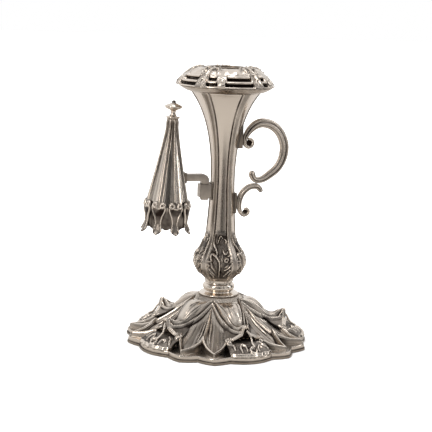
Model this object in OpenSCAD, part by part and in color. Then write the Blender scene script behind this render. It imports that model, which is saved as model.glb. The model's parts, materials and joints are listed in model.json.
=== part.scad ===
// Rococo chamberstick in silver plate. A stamped petal base with five applied
// blossoms carries a fluted stem, a lift-out candle nozzle with a broad pan, a
// double-scroll handle, and a conical snuffer that hangs in a socket by its hook.
// The origin is on the table, on the stem's axis. The handle points along +X.

/* [Base] */
// Radius of the circle that the petal tips reach
base_r = 49.4; // [46:0.2:54]
// Height of the collar's seat above the table
base_h = 25.2; // [22:0.2:29]
// Height of the petals' rolled edge at the tips
petal_tip_h = 4.6; // [3.8:0.1:6]
// How far the notch between two petals of a pair is set back from the tips
notch_depth = 12.8; // [9:0.2:15]
// Depth of the trough along each petal
petal_dish = 1.5; // [0.6:0.1:2]
// Height of the upper tier of the base above the petals
tier_h = 1.2; // [0.5:0.1:1.6]
// Wall of the stamped base
base_wall = 1.1; // [0.8:0.1:1.4]
// Thickness of the flat border that stands on the table
foot_t = 1.4; // [1:0.1:2]
// Width of the flat border
foot_w = 3.6; // [2.8:0.1:5]
// Height of a blossom's hood above the base
hood_h = 6.6; // [4:0.2:7.6]
// Height of the leaf below each hood
leaf_h = 1.9; // [1:0.1:2.6]

/* [Collar and tie rod] */
// Radius of the rounded ring below the stem
collar_r = 8.7; // [8.2:0.1:9.4]
// Height of the collar, from its seat to the stem's foot
collar_h = 7; // [6:0.2:9]
// Radius of the tie rod
rod_r = 2; // [1.5:0.1:2.4]
// Length of rod that shows below the nut
rod_tail = 1.6; // [0.6:0.2:3]
// Thickness of the nut
nut_t = 3.2; // [2.4:0.2:4]
// Width of the nut across its corners
nut_w = 8.4; // [7.4:0.2:10]
// Thickness of the washer under the base
washer_t = 1.2; // [0.8:0.1:2]

/* [Stem] */
// Length of the stem
stem_h = 102.6; // [95:0.5:112]
// Radius of the stem's foot
neck_r = 7.9; // [7.6:0.1:8.4]
// Largest radius of the bulb, over its ribs
bulb_r = 14.6; // [12.5:0.1:16]
// Height of the bulb's widest place above the stem's foot
bulb_z = 11.2; // [10:0.2:13]
// Height above the stem's foot at which the bulb runs out
bulb_top = 27.6; // [25:0.2:31]
// Radius where the bulb runs out
throat_r = 8.1; // [7.8:0.1:9]
// Radius of the waist, the stem's thinnest place
waist_r = 6.5; // [6.2:0.1:7.2]
// Height of the waist above the stem's foot
waist_z = 55.6; // [50:0.5:60]
// Radius of the stem's mouth, over its ribs
mouth_r = 19.5; // [19:0.1:21]
// Depth of a flute for each millimetre of radius
flute_rate = 0.09; // [0.05:0.01:0.1]
// Half the width of a rib, in degrees round the axis
rib_a = 5.5; // [3:0.5:8]
// Wall of the stem at the bottom of a flute
stem_wall = 0.6; // [0.4:0.05:0.7]
// Height of the leaf sprays on the bulb
spray_h = 1.3; // [0.4:0.1:1.6]

/* [Nozzle] */
// Bore for the candle
candle_d = 19.4; // [18:0.1:19.6]
// Depth of the candle's bore
candle_depth = 22.2; // [20:0.2:22.6]
// Wall of the nozzle's cup and of the liner round it
cup_wall = 0.4; // [0.3:0.05:0.45]
// Gap between the cup and its liner
cup_gap = 0.25; // [0.2:0.01:0.3]
// Radius of the pan's edge at its leaf tips
pan_r = 27; // [26:0.1:27.4]
// How far the pan's edge draws in between the leaf tips
pan_lobe = 1.6; // [0.4:0.1:2.4]
// Height of the pan's edge above the stem's mouth
pan_edge_h = 2.9; // [2.7:0.1:4]
// Height of the pan's crown above the stem's mouth
pan_h = 12.2; // [11:0.2:13.5]
// Wall of the pan
pan_wall = 0.8; // [0.6:0.1:1.1]
// Height of the leaf clusters above the pan's slope
cluster_h = 1.2; // [0.4:0.1:1.6]

/* [Handle] */
// Height of the handle's lower end above the table
handle_z = 67; // [64:0.5:69]
// Thickness of the handle across its plane
handle_t = 4.2; // [3.4:0.1:5]
// Width of the handle's band at the top of the loop
band_w = 5.2; // [4.2:0.1:5.6]
// Distance of the upper lug's outer face from the axis
lug_x = 10.2; // [9.6:0.1:10.4]
// Thickness of the lugs across the handle's plane
lug_t = 3; // [2:0.1:4]
// Length of the upper lug along the stem
upper_lug_l = 12.6; // [9:0.2:14]
// Length of the lower lug along the stem
lower_lug_l = 11.2; // [9:0.2:13]

/* [Snuffer] */
// Distance of the hook's tongue from the stem's axis
tongue_x = 10.05; // [9.8:0.05:11]
// Height of the socket's top edge above the table
socket_z = 85.7; // [80:0.2:90]
// Height of the socket
socket_h = 7.2; // [5:0.2:8.4]
// Width of the tongue along the arm
tongue_w = 3.9; // [3:0.1:4.2]
// Thickness of the tongue across the arm
tongue_t = 3.2; // [2.4:0.1:3.6]
// Length of the tongue below its shoulder
tongue_l = 8.7; // [7.6:0.1:8.8]
// Gap round the tongue in its socket
tongue_gap = 0.3; // [0.2:0.05:0.4]
// Wall of the socket
socket_wall = 0.9; // [0.7:0.1:1.1]
// Width of the shoulder and arm across the arm
arm_t = 4.6; // [4.3:0.1:5]
// Height of the arm's section
arm_h = 3.8; // [3:0.1:4.4]
// Length of the arm from the tongue's middle to the cone's axis
arm_reach = 20.3; // [19.5:0.1:24]
// Lean of the snuffer's cone towards the stem
cone_lean = 2.2; // [0:0.1:3]
// Largest radius of the cone, at its lip
cone_r = 11.9; // [10.5:0.1:12.4]
// Height of the cone above its lip
cone_h = 45.7; // [44:0.1:48]
// Radius of the cone's small end
cone_top_r = 3; // [2.6:0.1:3.4]
// Depth of the skirt below the lip
skirt_h = 12; // [10:0.2:13]
// Wall of the cone
cone_wall = 0.8; // [0.6:0.05:0.9]
// Radius that the leaf tips of the skirt flare out to
flare_r = 13.4; // [12.4:0.1:14]
// Radius of the knob on the snuffer
knob_r = 4.5; // [3.8:0.1:4.6]

/* [Hidden] */
// Repeats round the base, the stem and the pan
sectors = 5;
sector = 360 / sectors;
// Direction of the first petal pair and of the first rib of the stem
pair_dir = 24;
rib_dir = 0;
// Direction of the first shell on the pan's crown
shell_dir = -24;
// Air left between soldered pieces, so that their faces never cross
seam = 0.06;

// Half the angle that one petal fills, and the angle where a pair ends
tip_a = 10.5;
pair_a = 2 * tip_a;
// Angles from the middle of a petal pair to the middle of the next blossom
petal_steps = [for (u = [0, 0.3, 0.65, 1, 1.35, 1.7]) u * tip_a];
blossom_steps = [for (i = [0 : 4]) pair_a + i * (sector / 2 - pair_a) / 4];
half_steps = concat(petal_steps, blossom_steps);
half_n = len(half_steps) - 1;
base_cols = 2 * half_n * sectors;

hole_r = 9;
seat_r = 11.4;
border_z = foot_t + 1.3;
edge_scallop = 3.6;
leaf_reach = 2.3;
rim_in = 0.8;
rim_w = 2.2;
dome_power = 1.7;
// The ridges round each bud leave a pair's apex and meet again at the bud's tip
ridge_start_r = 13.5;
bud_tip_r = 36;
bud_back_r = 15;

collar_top = base_h + collar_h;
stem_top = collar_top + stem_h;
base_inner_z = base_h - base_wall;
plug_r = 5.8;
plug_z = collar_top + 2.2;
plug_h = 8;
spigot_h = 1.8;

cup_r = candle_d / 2 + cup_wall;
liner_in_r = cup_r + cup_gap;
liner_r = liner_in_r + cup_wall;
cup_lip_t = 0.8;
cup_lip_w = 1.5;
nozzle_top = stem_top + pan_h + cup_lip_t;
cup_floor_z = nozzle_top - candle_depth;
cup_floor_t = 0.5;
liner_z = cup_floor_z - cup_floor_t - 0.3;
liner_flange_t = 0.9;
liner_flange_r = flute_r(stem_h - liner_flange_t) - stem_wall - seam;

socket_x = -tongue_x;
cone_x = -(tongue_x + arm_reach);
lip_drop = 11.2;
lip_z = socket_z - lip_drop;
throat_l = 4.2;
cone_throat_h = cone_h - throat_l;

silver = [0.76, 0.74, 0.71];
silver_worn = [0.70, 0.67, 0.63];
silver_dark = [0.55, 0.52, 0.49];
brass = [0.72, 0.60, 0.36];
steel = [0.55, 0.56, 0.58];

// Plain helpers
function clamp(x) = max(0, min(1, x));
function smooth(x) = let (c = clamp(x)) c * c * (3 - 2 * c);
function mix(a, b, t) = a + (b - a) * t;
// Angle from the nearest of the sector middles that start at dir
function local_angle(a, dir) = (a - dir) - sector * round((a - dir) / sector);
function polar(r, a, z) = [r * cos(a), r * sin(a), z];

// Two triangles for one cell of a grid of points
function cell(a, b, c, d, flip) =
  flip ? [[c, b, a], [d, c, a]] : [[a, b, c], [a, c, d]];

// Faces between rows of a grid. Rows and columns close on themselves on request
function grid_faces(rows, cols, close_rows, close_cols, start, flip) = [
  for (i = [0 : rows - (close_rows ? 1 : 2)], j = [0 : cols - (close_cols ? 1 : 2)])
    let (i2 = (i + 1) % rows, j2 = (j + 1) % cols)
    each cell(start + i * cols + j, start + i * cols + j2,
              start + i2 * cols + j2, start + i2 * cols + j, flip)
];

// A closed sheet between two grids of the same size, one over the other
module sheet(upper, lower) {
  rows = len(upper);
  cols = len(upper[0]);
  n = rows * cols;
  rim = [
    for (j = [0 : cols - 2]) each cell(j, n + j, n + j + 1, j + 1, false),
    for (j = [0 : cols - 2]) let (a = (rows - 1) * cols + j) each cell(a, n + a, n + a + 1, a + 1, true),
    for (i = [0 : rows - 2]) let (a = i * cols) each cell(a, n + a, n + a + cols, a + cols, true),
    for (i = [0 : rows - 2]) let (a = i * cols + cols - 1) each cell(a, n + a, n + a + cols, a + cols, false)
  ];
  polyhedron(
    points = concat([for (row = upper) each row], [for (row = lower) each row]),
    faces = concat(grid_faces(rows, cols, false, false, 0, false),
                   grid_faces(rows, cols, false, false, n, true), rim),
    convexity = 10);
}

// A closed ring-shaped solid from loops of points that run round the axis
module ring_solid(loops, flip = false) {
  polyhedron(
    points = [for (loop = loops) each loop],
    faces = grid_faces(len(loops), len(loops[0]), true, true, 0, flip),
    convexity = 10);
}

// The base. t is the angle from the middle of the nearest petal pair
function outline_r(t) = let (a = abs(t))
  a < pair_a
    ? base_r - edge_scallop * pow(abs(a - tip_a) / tip_a, 1.2)
    : base_r - edge_scallop + leaf_reach * sin(90 * (a - pair_a) / (sector / 2 - pair_a));
function crest_r(t) = let (a = abs(t))
  a < pair_a
    ? base_r - rim_in - notch_depth * pow(abs(a - tip_a) / tip_a, 0.9)
    : base_r - rim_in - notch_depth + 1.2 * smooth((a - pair_a) / 10);
function dome_z(r) =
  petal_tip_h + (base_h - petal_tip_h) * pow(clamp((base_r - rim_in - r) / (base_r - rim_in - seat_r)), dome_power);
// Radius at which the ridge crosses the direction t
function ridge_r(t) =
  ridge_start_r + (bud_tip_r - ridge_start_r) * pow(min(abs(t), pair_a) / (sector / 2), 1.54);
// The two troughs of a petal pair, with a fold between them
function petal_relief(r, t) = let (a = abs(t))
  a < pair_a ? -petal_dish * smooth((r - ridge_r(t)) / 9) * pow(sin(180 * a / pair_a), 0.8) : 0;
// How far a point lies inside a blossom's stretch of the base, from 0 to 1
function blossom_share(t) = smooth((abs(t) - pair_a) / 6);

// Rings of the base's upper face, from the collar's seat to the border
top_rings = 11;
ridge_w = 1.5;
// The ridge's crest, drawn back to the bud's back end where a blossom covers it
function ridge_crest_r(t) = mix(ridge_r(t), bud_back_r, smooth((abs(t) - pair_a) / (sector / 2 - pair_a)));
function ridge_foot_r(t) = ridge_crest_r(t) + mix(ridge_w, 3 * ridge_w, blossom_share(t));
function base_ring(k, t) = let (trough = crest_r(t) - rim_w, b = blossom_share(t))
  k == 0 ? [hole_r, base_h] :
  k == 1 ? [seat_r, base_h] :
  k == 2 ? let (r = ridge_crest_r(t)) [r, dome_z(r) + tier_h * smooth((r - seat_r) / 5)] :
  k <= 6 ? let (r = mix(ridge_foot_r(t), trough, (k - 3) / 3)) [r, dome_z(r) + petal_relief(r, t)] :
  k == 7 ? let (r = crest_r(t)) [r, dome_z(r) + mix(0.7, tier_h, b)] :
  k == 8 ? [crest_r(t) + mix(0.5, 2.6, b), mix(border_z + 0.5, dome_z(crest_r(t)) - 1.4, b)] :
  k == 9 ? [mix(crest_r(t), outline_r(t), 0.55), mix(border_z + 0.2, border_z + 1.8, b)] :
  [outline_r(t), border_z];
function under_z(k, t) = base_ring(k, t)[1] - base_wall - (k > 2 ? 0.3 : 0);

// Angle and local angle of each column of points round the base
function half_angle(i) = i <= half_n ? half_steps[i] : sector - half_steps[2 * half_n - i];
function base_angle(j) = pair_dir + sector * floor(j / (2 * half_n)) + half_angle(j % (2 * half_n));
base_angles = [for (j = [0 : base_cols - 1]) base_angle(j)];
function base_point(k, a) = let (p = base_ring(k, local_angle(a, pair_dir))) polar(p[0], a, p[1]);

module foot_rim() {
  outline = [for (a = base_angles) (outline_r(local_angle(a, pair_dir)) + 0.5) * [cos(a), sin(a)]];
  inside = [for (a = base_angles) (outline_r(local_angle(a, pair_dir)) - foot_w) * [cos(a), sin(a)]];
  color(silver_worn)
    linear_extrude(height = foot_t)
      difference() {
        polygon(outline);
        polygon(inside);
      }
}

module base_shell() {
  upper = [for (k = [0 : top_rings - 1]) [for (a = base_angles) base_point(k, a)]];
  under = [
    [for (a = base_angles) let (t = local_angle(a, pair_dir)) polar(outline_r(t), a, foot_t)],
    [for (a = base_angles) let (t = local_angle(a, pair_dir)) polar(crest_r(t) - 1.4, a, foot_t)],
    [for (a = base_angles) let (t = local_angle(a, pair_dir), p = base_ring(6, t))
      polar(p[0] - 0.6, a, max(foot_t + 0.6, min(under_z(6, t), under_z(7, t))))],
    for (k = [4, 2])
      [for (a = base_angles) let (t = local_angle(a, pair_dir), p = base_ring(k, t))
        polar(p[0], a, under_z(k, t))],
    [for (a = base_angles) polar(seat_r - 0.6, a, base_inner_z)],
    [for (a = base_angles) polar(hole_r, a, base_inner_z)]
  ];
  color(silver)
    ring_solid(concat(upper, under));
}

// A blossom lies on one stretch of the base, from its third ring to the border
blossom_first = 2;
function hood_rise(k, c) = let (round_off = pow(cos(88 * c), 0.7))
  k <= 7
    ? 0.5 + hood_h * round_off * pow(sin(90 * clamp((k - 1.6) / 5.4)), 1.3)
    : 0.5 + leaf_h * (k == 8 ? 1.1 : k == 9 ? 1 : 0.35) * (0.55 + 0.45 * cos(70 * c));
module blossom(i) {
  first = 2 * half_n * i + half_n - 4;
  cols = [for (j = [first : first + 8]) j % base_cols];
  function off_middle(a) = abs(abs(local_angle(a, pair_dir)) - sector / 2) / (sector / 2 - pair_a);
  lower = [
    for (k = [blossom_first : top_rings - 1])
      [for (j = cols) base_point(k, base_angles[j]) + [0, 0, seam]]
  ];
  upper = [
    for (k = [blossom_first : top_rings - 1])
      [for (j = cols) base_point(k, base_angles[j])
        + [0, 0, seam + hood_rise(k, off_middle(base_angles[j]))]]
  ];
  color(silver)
    sheet(upper, lower);
}
module blossom_1() { blossom(0); }
module blossom_2() { blossom(1); }
module blossom_3() { blossom(2); }
module blossom_4() { blossom(3); }
module blossom_5() { blossom(4); }

// The turned collar stands in the base's hole and carries the stem
module base_collar() {
  ring_z = base_h + 0.62 * collar_h;
  ring_half = 0.3 * collar_h;
  color(silver)
    rotate_extrude($fn = 72)
      polygon([
        [rod_r + 0.2, base_inner_z],
        [hole_r - 0.2, base_inner_z],
        [hole_r - 0.2, base_h],
        [seat_r - 1, base_h],
        [seat_r - 1, base_h + 0.7],
        [collar_r - 1, base_h + 1.2],
        [collar_r - 1.2, ring_z - ring_half],
        for (a = [-60 : 20 : 60]) [collar_r - 1 + cos(a), ring_z + ring_half * sin(a) / sin(60)],
        [collar_r - 1.2, ring_z + ring_half],
        [neck_r - 0.5, collar_top],
        [plug_r, collar_top],
        [plug_r, collar_top + spigot_h],
        [rod_r + 0.2, collar_top + spigot_h]
      ]);
}

// Fixing under the base: washer, nut and a rod that screws into the stem's plug
module tie_washer() {
  color(brass)
    translate([0, 0, base_inner_z - washer_t])
      difference() {
        cylinder(h = washer_t, r = seat_r - 0.8, $fn = 64);
        translate([0, 0, -1]) cylinder(h = washer_t + 2, r = rod_r + 0.2, $fn = 32);
      }
}

module tie_nut() {
  color(brass)
    translate([0, 0, base_inner_z - washer_t - nut_t])
      difference() {
        cylinder(h = nut_t, r = nut_w / 2, $fn = 6);
        translate([0, 0, -1]) cylinder(h = nut_t + 2, r = rod_r + 0.05, $fn = 32);
      }
}

module tie_rod() {
  rod_z = base_inner_z - washer_t - nut_t - rod_tail;
  color(steel)
    translate([0, 0, rod_z])
      cylinder(h = plug_z + plug_h - 1.5 - rod_z, r = rod_r, $fn = 32);
}

module stem_plug() {
  color(brass)
    translate([0, 0, plug_z])
      difference() {
        cylinder(h = plug_h, r = plug_r, $fn = 64);
        translate([0, 0, -1]) cylinder(h = plug_h, r = rod_r + 0.05, $fn = 32);
      }
}

// The stem. h is the height above its foot, u the angle from the nearest rib
function rib_r(h) =
  h <= bulb_z
    ? neck_r + (bulb_r - neck_r) * pow(cos(90 * clamp((bulb_z - h) / (bulb_z - 1.4))), 0.9) :
  h <= bulb_top
    ? throat_r + (bulb_r - throat_r) * pow(cos(90 * (h - bulb_z) / (bulb_top - bulb_z)), 2.3) :
  h <= waist_z
    ? waist_r + (throat_r - waist_r) * pow((waist_z - h) / (waist_z - bulb_top), 1.5) :
  let (s = (h - waist_z) / (stem_h - waist_z))
    waist_r + (mouth_r - waist_r) * (0.76 * pow(s, 2.2) + 0.24 * pow(s, 6));
function flute_r(h) = rib_r(h) * (1 - flute_rate);
function flute_share(u) =
  u <= rib_a ? 0 : pow(sin(90 * clamp((u - rib_a) / (sector / 2 - rib_a))), 0.45);
// The leaf spray in each flute of the bulb
spray_low = 2.4;
function spray_share(h, u) = let (x = (h - spray_low) / (bulb_top - spray_low), c = (sector / 2 - u) / 26)
  x <= 0 || x >= 1 || c >= 1 ? 0 : pow(sin(180 * pow(x, 0.8)), 0.6) * pow(cos(90 * c), 0.8);
function stem_r(h, u) =
  mix(rib_r(h), flute_r(h), flute_share(u)) + spray_h * spray_share(h, u);

stem_levels = concat(
  [0, 1.4],
  [for (i = [1 : 11]) 1.4 + (bulb_top - 1.4) * i / 11],
  [for (i = [1 : 12]) bulb_top + (stem_h - bulb_top) * (1 - pow(1 - i / 12, 1.6))]
);
// The rib's face as it is built, straight from one level of the stem to the next
rib_face = [for (h = stem_levels) [h, rib_r(h)]];
stem_half_steps = [0, 0.6 * rib_a, rib_a, 1.6 * rib_a, 0.45 * sector / 2, 0.72 * sector / 2, sector / 2];
// Angles from one rib to the next
rib_to_rib = concat(
  [for (u = stem_half_steps) u],
  [for (i = [1 : 5]) sector - stem_half_steps[6 - i]]
);
stem_angles = [
  for (s = [0 : sectors - 1]) each [for (u = rib_to_rib) s * sector + u]
];
function rib_angle(a) = abs(local_angle(a, rib_dir));

// One half of the stem, cut on the handle's plane where the two castings are soldered
module stem_half(from_a) {
  half = [for (a = concat(stem_angles, [360])) if (a >= from_a && a <= from_a + 180) a];
  angles = concat(half[0] == from_a ? [] : [from_a], half,
                  half[len(half) - 1] == from_a + 180 ? [] : [from_a + 180]);
  n = len(angles) + 1;
  top = len(stem_levels) - 1;
  points = [
    for (h = stem_levels) each concat(
      [[0, 0, collar_top + h]],
      [for (a = angles) polar(stem_r(h, rib_angle(a)), a, collar_top + h)])
  ];
  difference() {
    polyhedron(
      points = points,
      faces = concat(
        grid_faces(top + 1, n, false, true, 0, true),
        [for (j = [1 : n - 2]) [0, j, j + 1]],
        [for (j = [1 : n - 2]) [top * n, top * n + j + 1, top * n + j]]),
      convexity = 10);
    stem_cavity();
  }
}

// The hollow of the stem: a seat for the plug, the bulb, the throat and the liner's ledge
cavity_low = plug_z + plug_h + 0.5;
ledge_w = 0.8;
cavity_levels = [for (h = stem_levels) if (collar_top + h > cavity_low + 0.5 && h < stem_h - 4) h];
module stem_cavity() {
  rotate_extrude($fn = 64)
    polygon(concat(
      [[0, collar_top - 1],
       [plug_r + seam, collar_top - 1],
       [plug_r + seam, cavity_low]],
      [for (h = cavity_levels) [flute_r(h) - stem_wall, collar_top + h]],
      [[flute_r(stem_h - liner_flange_t) - stem_wall - ledge_w, stem_top - liner_flange_t],
       [liner_flange_r + seam, stem_top - liner_flange_t],
       [liner_flange_r + seam, stem_top + 1],
       [0, stem_top + 1]]));
}

module stem_front() {
  color(silver)
    stem_half(180);
}

module stem_back() {
  color(silver)
    stem_half(0);
}

// Lining tube in the stem's mouth, with a flange that closes the mouth round it
module socket_liner() {
  color(silver_dark)
    translate([0, 0, liner_z])
      difference() {
        union() {
          cylinder(h = stem_top - liner_z, r = liner_r, $fn = 72);
          translate([0, 0, stem_top - liner_flange_t - liner_z])
            cylinder(h = liner_flange_t, r = liner_flange_r, $fn = 72);
        }
        translate([0, 0, -1])
          cylinder(h = stem_top - liner_z + 2, r = liner_in_r, $fn = 72);
      }
}

// The lift-out nozzle: a cup for the candle under a rolled lip
module nozzle_cup() {
  color(silver_dark)
    difference() {
      union() {
        translate([0, 0, cup_floor_z - cup_floor_t])
          cylinder(h = nozzle_top - cup_floor_z + cup_floor_t, r = cup_r, $fn = 72);
        translate([0, 0, nozzle_top - cup_lip_t])
          cylinder(h = cup_lip_t, r = cup_r + cup_lip_w, $fn = 72);
      }
      translate([0, 0, cup_floor_z])
        cylinder(h = candle_depth + 1, r = candle_d / 2, $fn = 72);
    }
}

// A plate under the pan, flat where it rests on the stem and dished out to the edge
plate_t = 0.6;
plate_flat_r = mouth_r + 0.3;
plate_edge_r = pan_r - pan_lobe - 1.2;
module nozzle_underplate() {
  color(silver_worn)
    rotate_extrude($fn = 72)
      polygon([
        [cup_r + seam, stem_top],
        [plate_flat_r, stem_top],
        [plate_edge_r, stem_top + pan_edge_h - plate_t - seam],
        [plate_edge_r, stem_top + pan_edge_h - seam],
        [plate_flat_r - 0.3, stem_top + plate_t],
        [cup_r + seam, stem_top + plate_t]
      ]);
}

// The pan. t is the angle from the middle of the nearest shell
pan_cols = 60;
pan_bore_r = cup_r + 0.12;
function cluster_share(t) = smooth((abs(t) - sector / 2 + 13) / 9);
function pan_edge_r(t) = pan_r - pan_lobe * (1 - pow(sin(90 * abs(t) / (sector / 2)), 1.4));
function pan_upper(t) = let (c = cluster_share(t), e = pan_edge_r(t), z = stem_top, b = cluster_h) [
  [pan_bore_r, z + pan_h - seam],
  [cup_r + cup_lip_w + 0.2, z + pan_h - seam],
  [13.4, z + pan_h - 0.3 + 1.5 * b * c],
  [16.2, z + pan_h - 1.6 + 1.6 * b * c],
  [19.4, z + pan_h - 3.4 + 1.4 * b * c],
  [21.8, z + pan_h - 4.6 + 0.8 * b * c],
  [mix(22, 22.6, c), z + mix(6.3, 6.9, c)],
  [e - 2.2, z + mix(6.1, 6, c)],
  [e - 2, z + mix(4.8, 5.2, c)],
  [e - 0.5, z + 4.5],
  [e, z + pan_edge_h + 0.8],
  [e, z + pan_edge_h]
];
function pan_under(t) = let (e = pan_edge_r(t), z = stem_top - pan_wall) [
  [e - 0.9, stem_top + pan_edge_h],
  [min(e, pan_r - pan_lobe) - 3.4, z + 5.4],
  [19, z + pan_h - 3.7],
  [13, z + pan_h - 0.5],
  [pan_bore_r, z + pan_h - 0.4]
];
module nozzle_pan() {
  angles = [for (j = [0 : pan_cols - 1]) 360 * j / pan_cols + shell_dir];
  rows = len(pan_upper(0));
  lows = len(pan_under(0));
  color(silver)
    ring_solid([
      for (k = [0 : rows - 1])
        [for (a = angles) let (p = pan_upper(local_angle(a, shell_dir))[k]) polar(p[0], a, p[1])],
      for (k = [0 : lows - 1])
        [for (a = angles) let (p = pan_under(local_angle(a, shell_dir))[k]) polar(p[0], a, p[1])]
    ]);
}

// The handle. Each knot is [distance from the upper lug's face, height above the
// handle's lower end, width of the band], and a smooth curve joins them
loop_knots = [
  [4.4, 40.1, 1.5], [2.9, 38.9, 1.9], [1.4, 40.6, 2.3], [1.9, 43.9, 3], [4.1, 47.5, 4.2],
  [7.4, 50.2, 5], [11.6, 51.2, band_w], [17, 49.7, band_w], [21.5, 45.5, band_w],
  [24, 39.2, band_w], [23.5, 32.6, 5.1], [20.8, 27.2, 4.9], [16.8, 23.6, 4.6],
  [12.6, 20.9, 4], [8.7, 20.15, 3.2], [6.4, 21, 2.4], [5.7, 23.2, 1.6]
];
scroll_knots = [
  [11.4, 15.2, 1.6], [8.8, 16.9, 3], [5, 16.5, 3.6], [1.5, 13.7, 3.6], [-0.3, 9.6, 3.4],
  [-0.3, 5.4, 2.8], [1.1, 2.2, 2.4], [3.4, 1.2, 2], [4.6, 2.9, 1.6]
];
upper_lug_up = 37.6;
lower_lug_up = 2.4;
upper_lug_z = handle_z + upper_lug_up;
lower_lug_z = handle_z + lower_lug_up;
// How far the lower lug's face lies behind the upper one's
lug_step = 2.15;
// Point on a smooth curve between the second and third of four knots
function spline(p, t) = 0.5 * (2 * p[1] + (p[2] - p[0]) * t
  + (2 * p[0] - 5 * p[1] + 4 * p[2] - p[3]) * t * t
  + (3 * p[1] - p[0] - 3 * p[2] + p[3]) * t * t * t);
function knot(list, i) = list[max(0, min(len(list) - 1, i))];
function curve(list, steps) = concat(
  [for (i = [0 : len(list) - 2], s = [0 : steps - 1])
    spline([knot(list, i - 1), knot(list, i), knot(list, i + 1), knot(list, i + 2)], s / steps)],
  [list[len(list) - 1]]
);

// A band swept along a curve in the handle's plane, with a rounded section
band_sides = 10;
module swept_band(knots, steps, thick) {
  path = [for (p = curve(knots, steps)) [p[0] + lug_x, p[1] + handle_z, p[2]]];
  n = len(path);
  loops = [
    for (i = [0 : n - 1])
      let (
        ahead = path[min(n - 1, i + 1)],
        back = path[max(0, i - 1)],
        d = [ahead[0] - back[0], ahead[1] - back[1]],
        side = [-d[1], d[0]] / norm(d),
        half_w = path[i][2] / 2,
        half_t = min(thick, 0.75 * path[i][2] + 1.1) / 2
      )
      [for (k = [0 : band_sides - 1]) let (a = 360 * k / band_sides)
        [path[i][0] + side[0] * half_w * cos(a), half_t * sin(a), path[i][1] + side[1] * half_w * cos(a)]]
  ];
  polyhedron(
    points = [for (loop = loops) each loop],
    faces = concat(
      grid_faces(n, band_sides, false, true, 0, false),
      [for (k = [1 : band_sides - 2]) [0, k + 1, k]],
      [for (k = [1 : band_sides - 2]) let (s = (n - 1) * band_sides) [s, s + k, s + k + 1]]),
    convexity = 10);
}

module handle_loop() {
  color(silver)
    swept_band(loop_knots, 3, handle_t);
}

module handle_scroll() {
  color(silver)
    swept_band(scroll_knots, 3, handle_t - 0.6);
}

// Heights at which a piece that lies against the stem has to bend with it
function seat_levels(low_z, high_z) = concat(
  [low_z],
  [for (h = stem_levels) if (collar_top + h > low_z + 0.1 && collar_top + h < high_z - 0.1) collar_top + h],
  [high_z]);

// A lug cut to the stem's rib on one side, with an upright face for the handle
module rib_lug(low_z, length, face_x) {
  levels = seat_levels(low_z - 2, low_z + length + 2);
  difference() {
    translate([0, -lug_t / 2, low_z])
      cube([face_x, lug_t, length]);
    rotate_extrude($fn = 96)
      polygon(concat(
        [[0, low_z - 2]],
        [for (z = levels) [lookup(z - collar_top, rib_face) + seam, z]],
        [[0, low_z + length + 2]]));
  }
}

module handle_upper_lug() {
  color(silver_worn)
    rib_lug(upper_lug_z, upper_lug_l, lug_x);
}

module handle_lower_lug() {
  color(silver_worn)
    rib_lug(lower_lug_z, lower_lug_l, lug_x - lug_step);
}

// The bracket: a plate soldered in the flute opposite the handle, and a box socket
socket_in_x = tongue_w + 2 * tongue_gap;
socket_in_y = tongue_t + 2 * tongue_gap;
socket_out_x = socket_in_x + 2 * socket_wall;
socket_out_y = socket_in_y + 2 * socket_wall;
plate_x = socket_x + socket_out_x / 2 + seam;
module bracket_backplate() {
  levels = seat_levels(socket_z - socket_h - 1.4, socket_z + 0.6);
  color(silver_worn)
    rotate([90, 0, 0])
      linear_extrude(height = socket_out_y, center = true)
        polygon(concat(
          [for (z = levels) [-lookup(z - collar_top, rib_face) * (1 - flute_rate) - seam, z]],
          [[plate_x, socket_z + 0.6], [plate_x, socket_z - socket_h - 1.4]]));
}

module bracket_socket() {
  color(silver)
    translate([socket_x, 0, socket_z - socket_h / 2])
      difference() {
        cube([socket_out_x, socket_out_y, socket_h], center = true);
        cube([socket_in_x, socket_in_y, socket_h + 2], center = true);
      }
}

// The snuffer hangs by a tongue in the socket. Its shoulder rests on the socket's edge
arm_low_z = socket_z + 1.6;
arm_top_z = arm_low_z + arm_h;
pad_t = 0.8;
arm_mid_h = arm_low_z + arm_h / 2 - lip_z;
arm_end_x = cone_x + arm_mid_h * sin(cone_lean) + cone_out_r(arm_mid_h) + pad_t;
module snuffer_hook() {
  inner_x = socket_x - tongue_w / 2;
  outer_x = socket_x + tongue_w / 2;
  bend = 3.4;
  color(silver)
    union() {
      rotate([90, 0, 0])
        linear_extrude(height = arm_t, center = true)
          polygon(concat(
            [[arm_end_x, arm_low_z], [inner_x, arm_low_z], [inner_x, socket_z], [outer_x, socket_z]],
            [for (a = [0 : 15 : 90]) [outer_x - bend + bend * cos(a), arm_top_z - bend + bend * sin(a)]],
            [[arm_end_x, arm_top_z]]));
      translate([inner_x, -tongue_t / 2, socket_z - tongue_l])
        cube([tongue_w, tongue_t, tongue_l + 0.5]);
    }
}

// Places a piece in the snuffer's own frame: its axis, with the lip at height 0
module on_snuffer() {
  translate([cone_x, 0, lip_z])
    rotate([0, cone_lean, 0])
      children();
}

// A pad between the arm's end and the cone's side
module hook_pad() {
  color(silver_worn)
    difference() {
      translate([arm_end_x - 2.2, -3, arm_low_z - 0.9])
        cube([2.2 - seam, 6, arm_h + 1.7]);
      on_snuffer()
        rotate_extrude($fn = 64)
          polygon(concat(
            [[0, 0]],
            [for (i = [0 : 8]) let (h = cone_throat_h * i / 8) [cone_out_r(h) + 0.1, h]],
            [[0, cone_throat_h]]));
    }
}

// The cone: eight hollowed panels between raised ribs, with a strap leaf under each
// rib. h is the height above its lip, negative down the skirt
panels = 8;
panel = 360 / panels;
panel_dir = 8;
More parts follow.
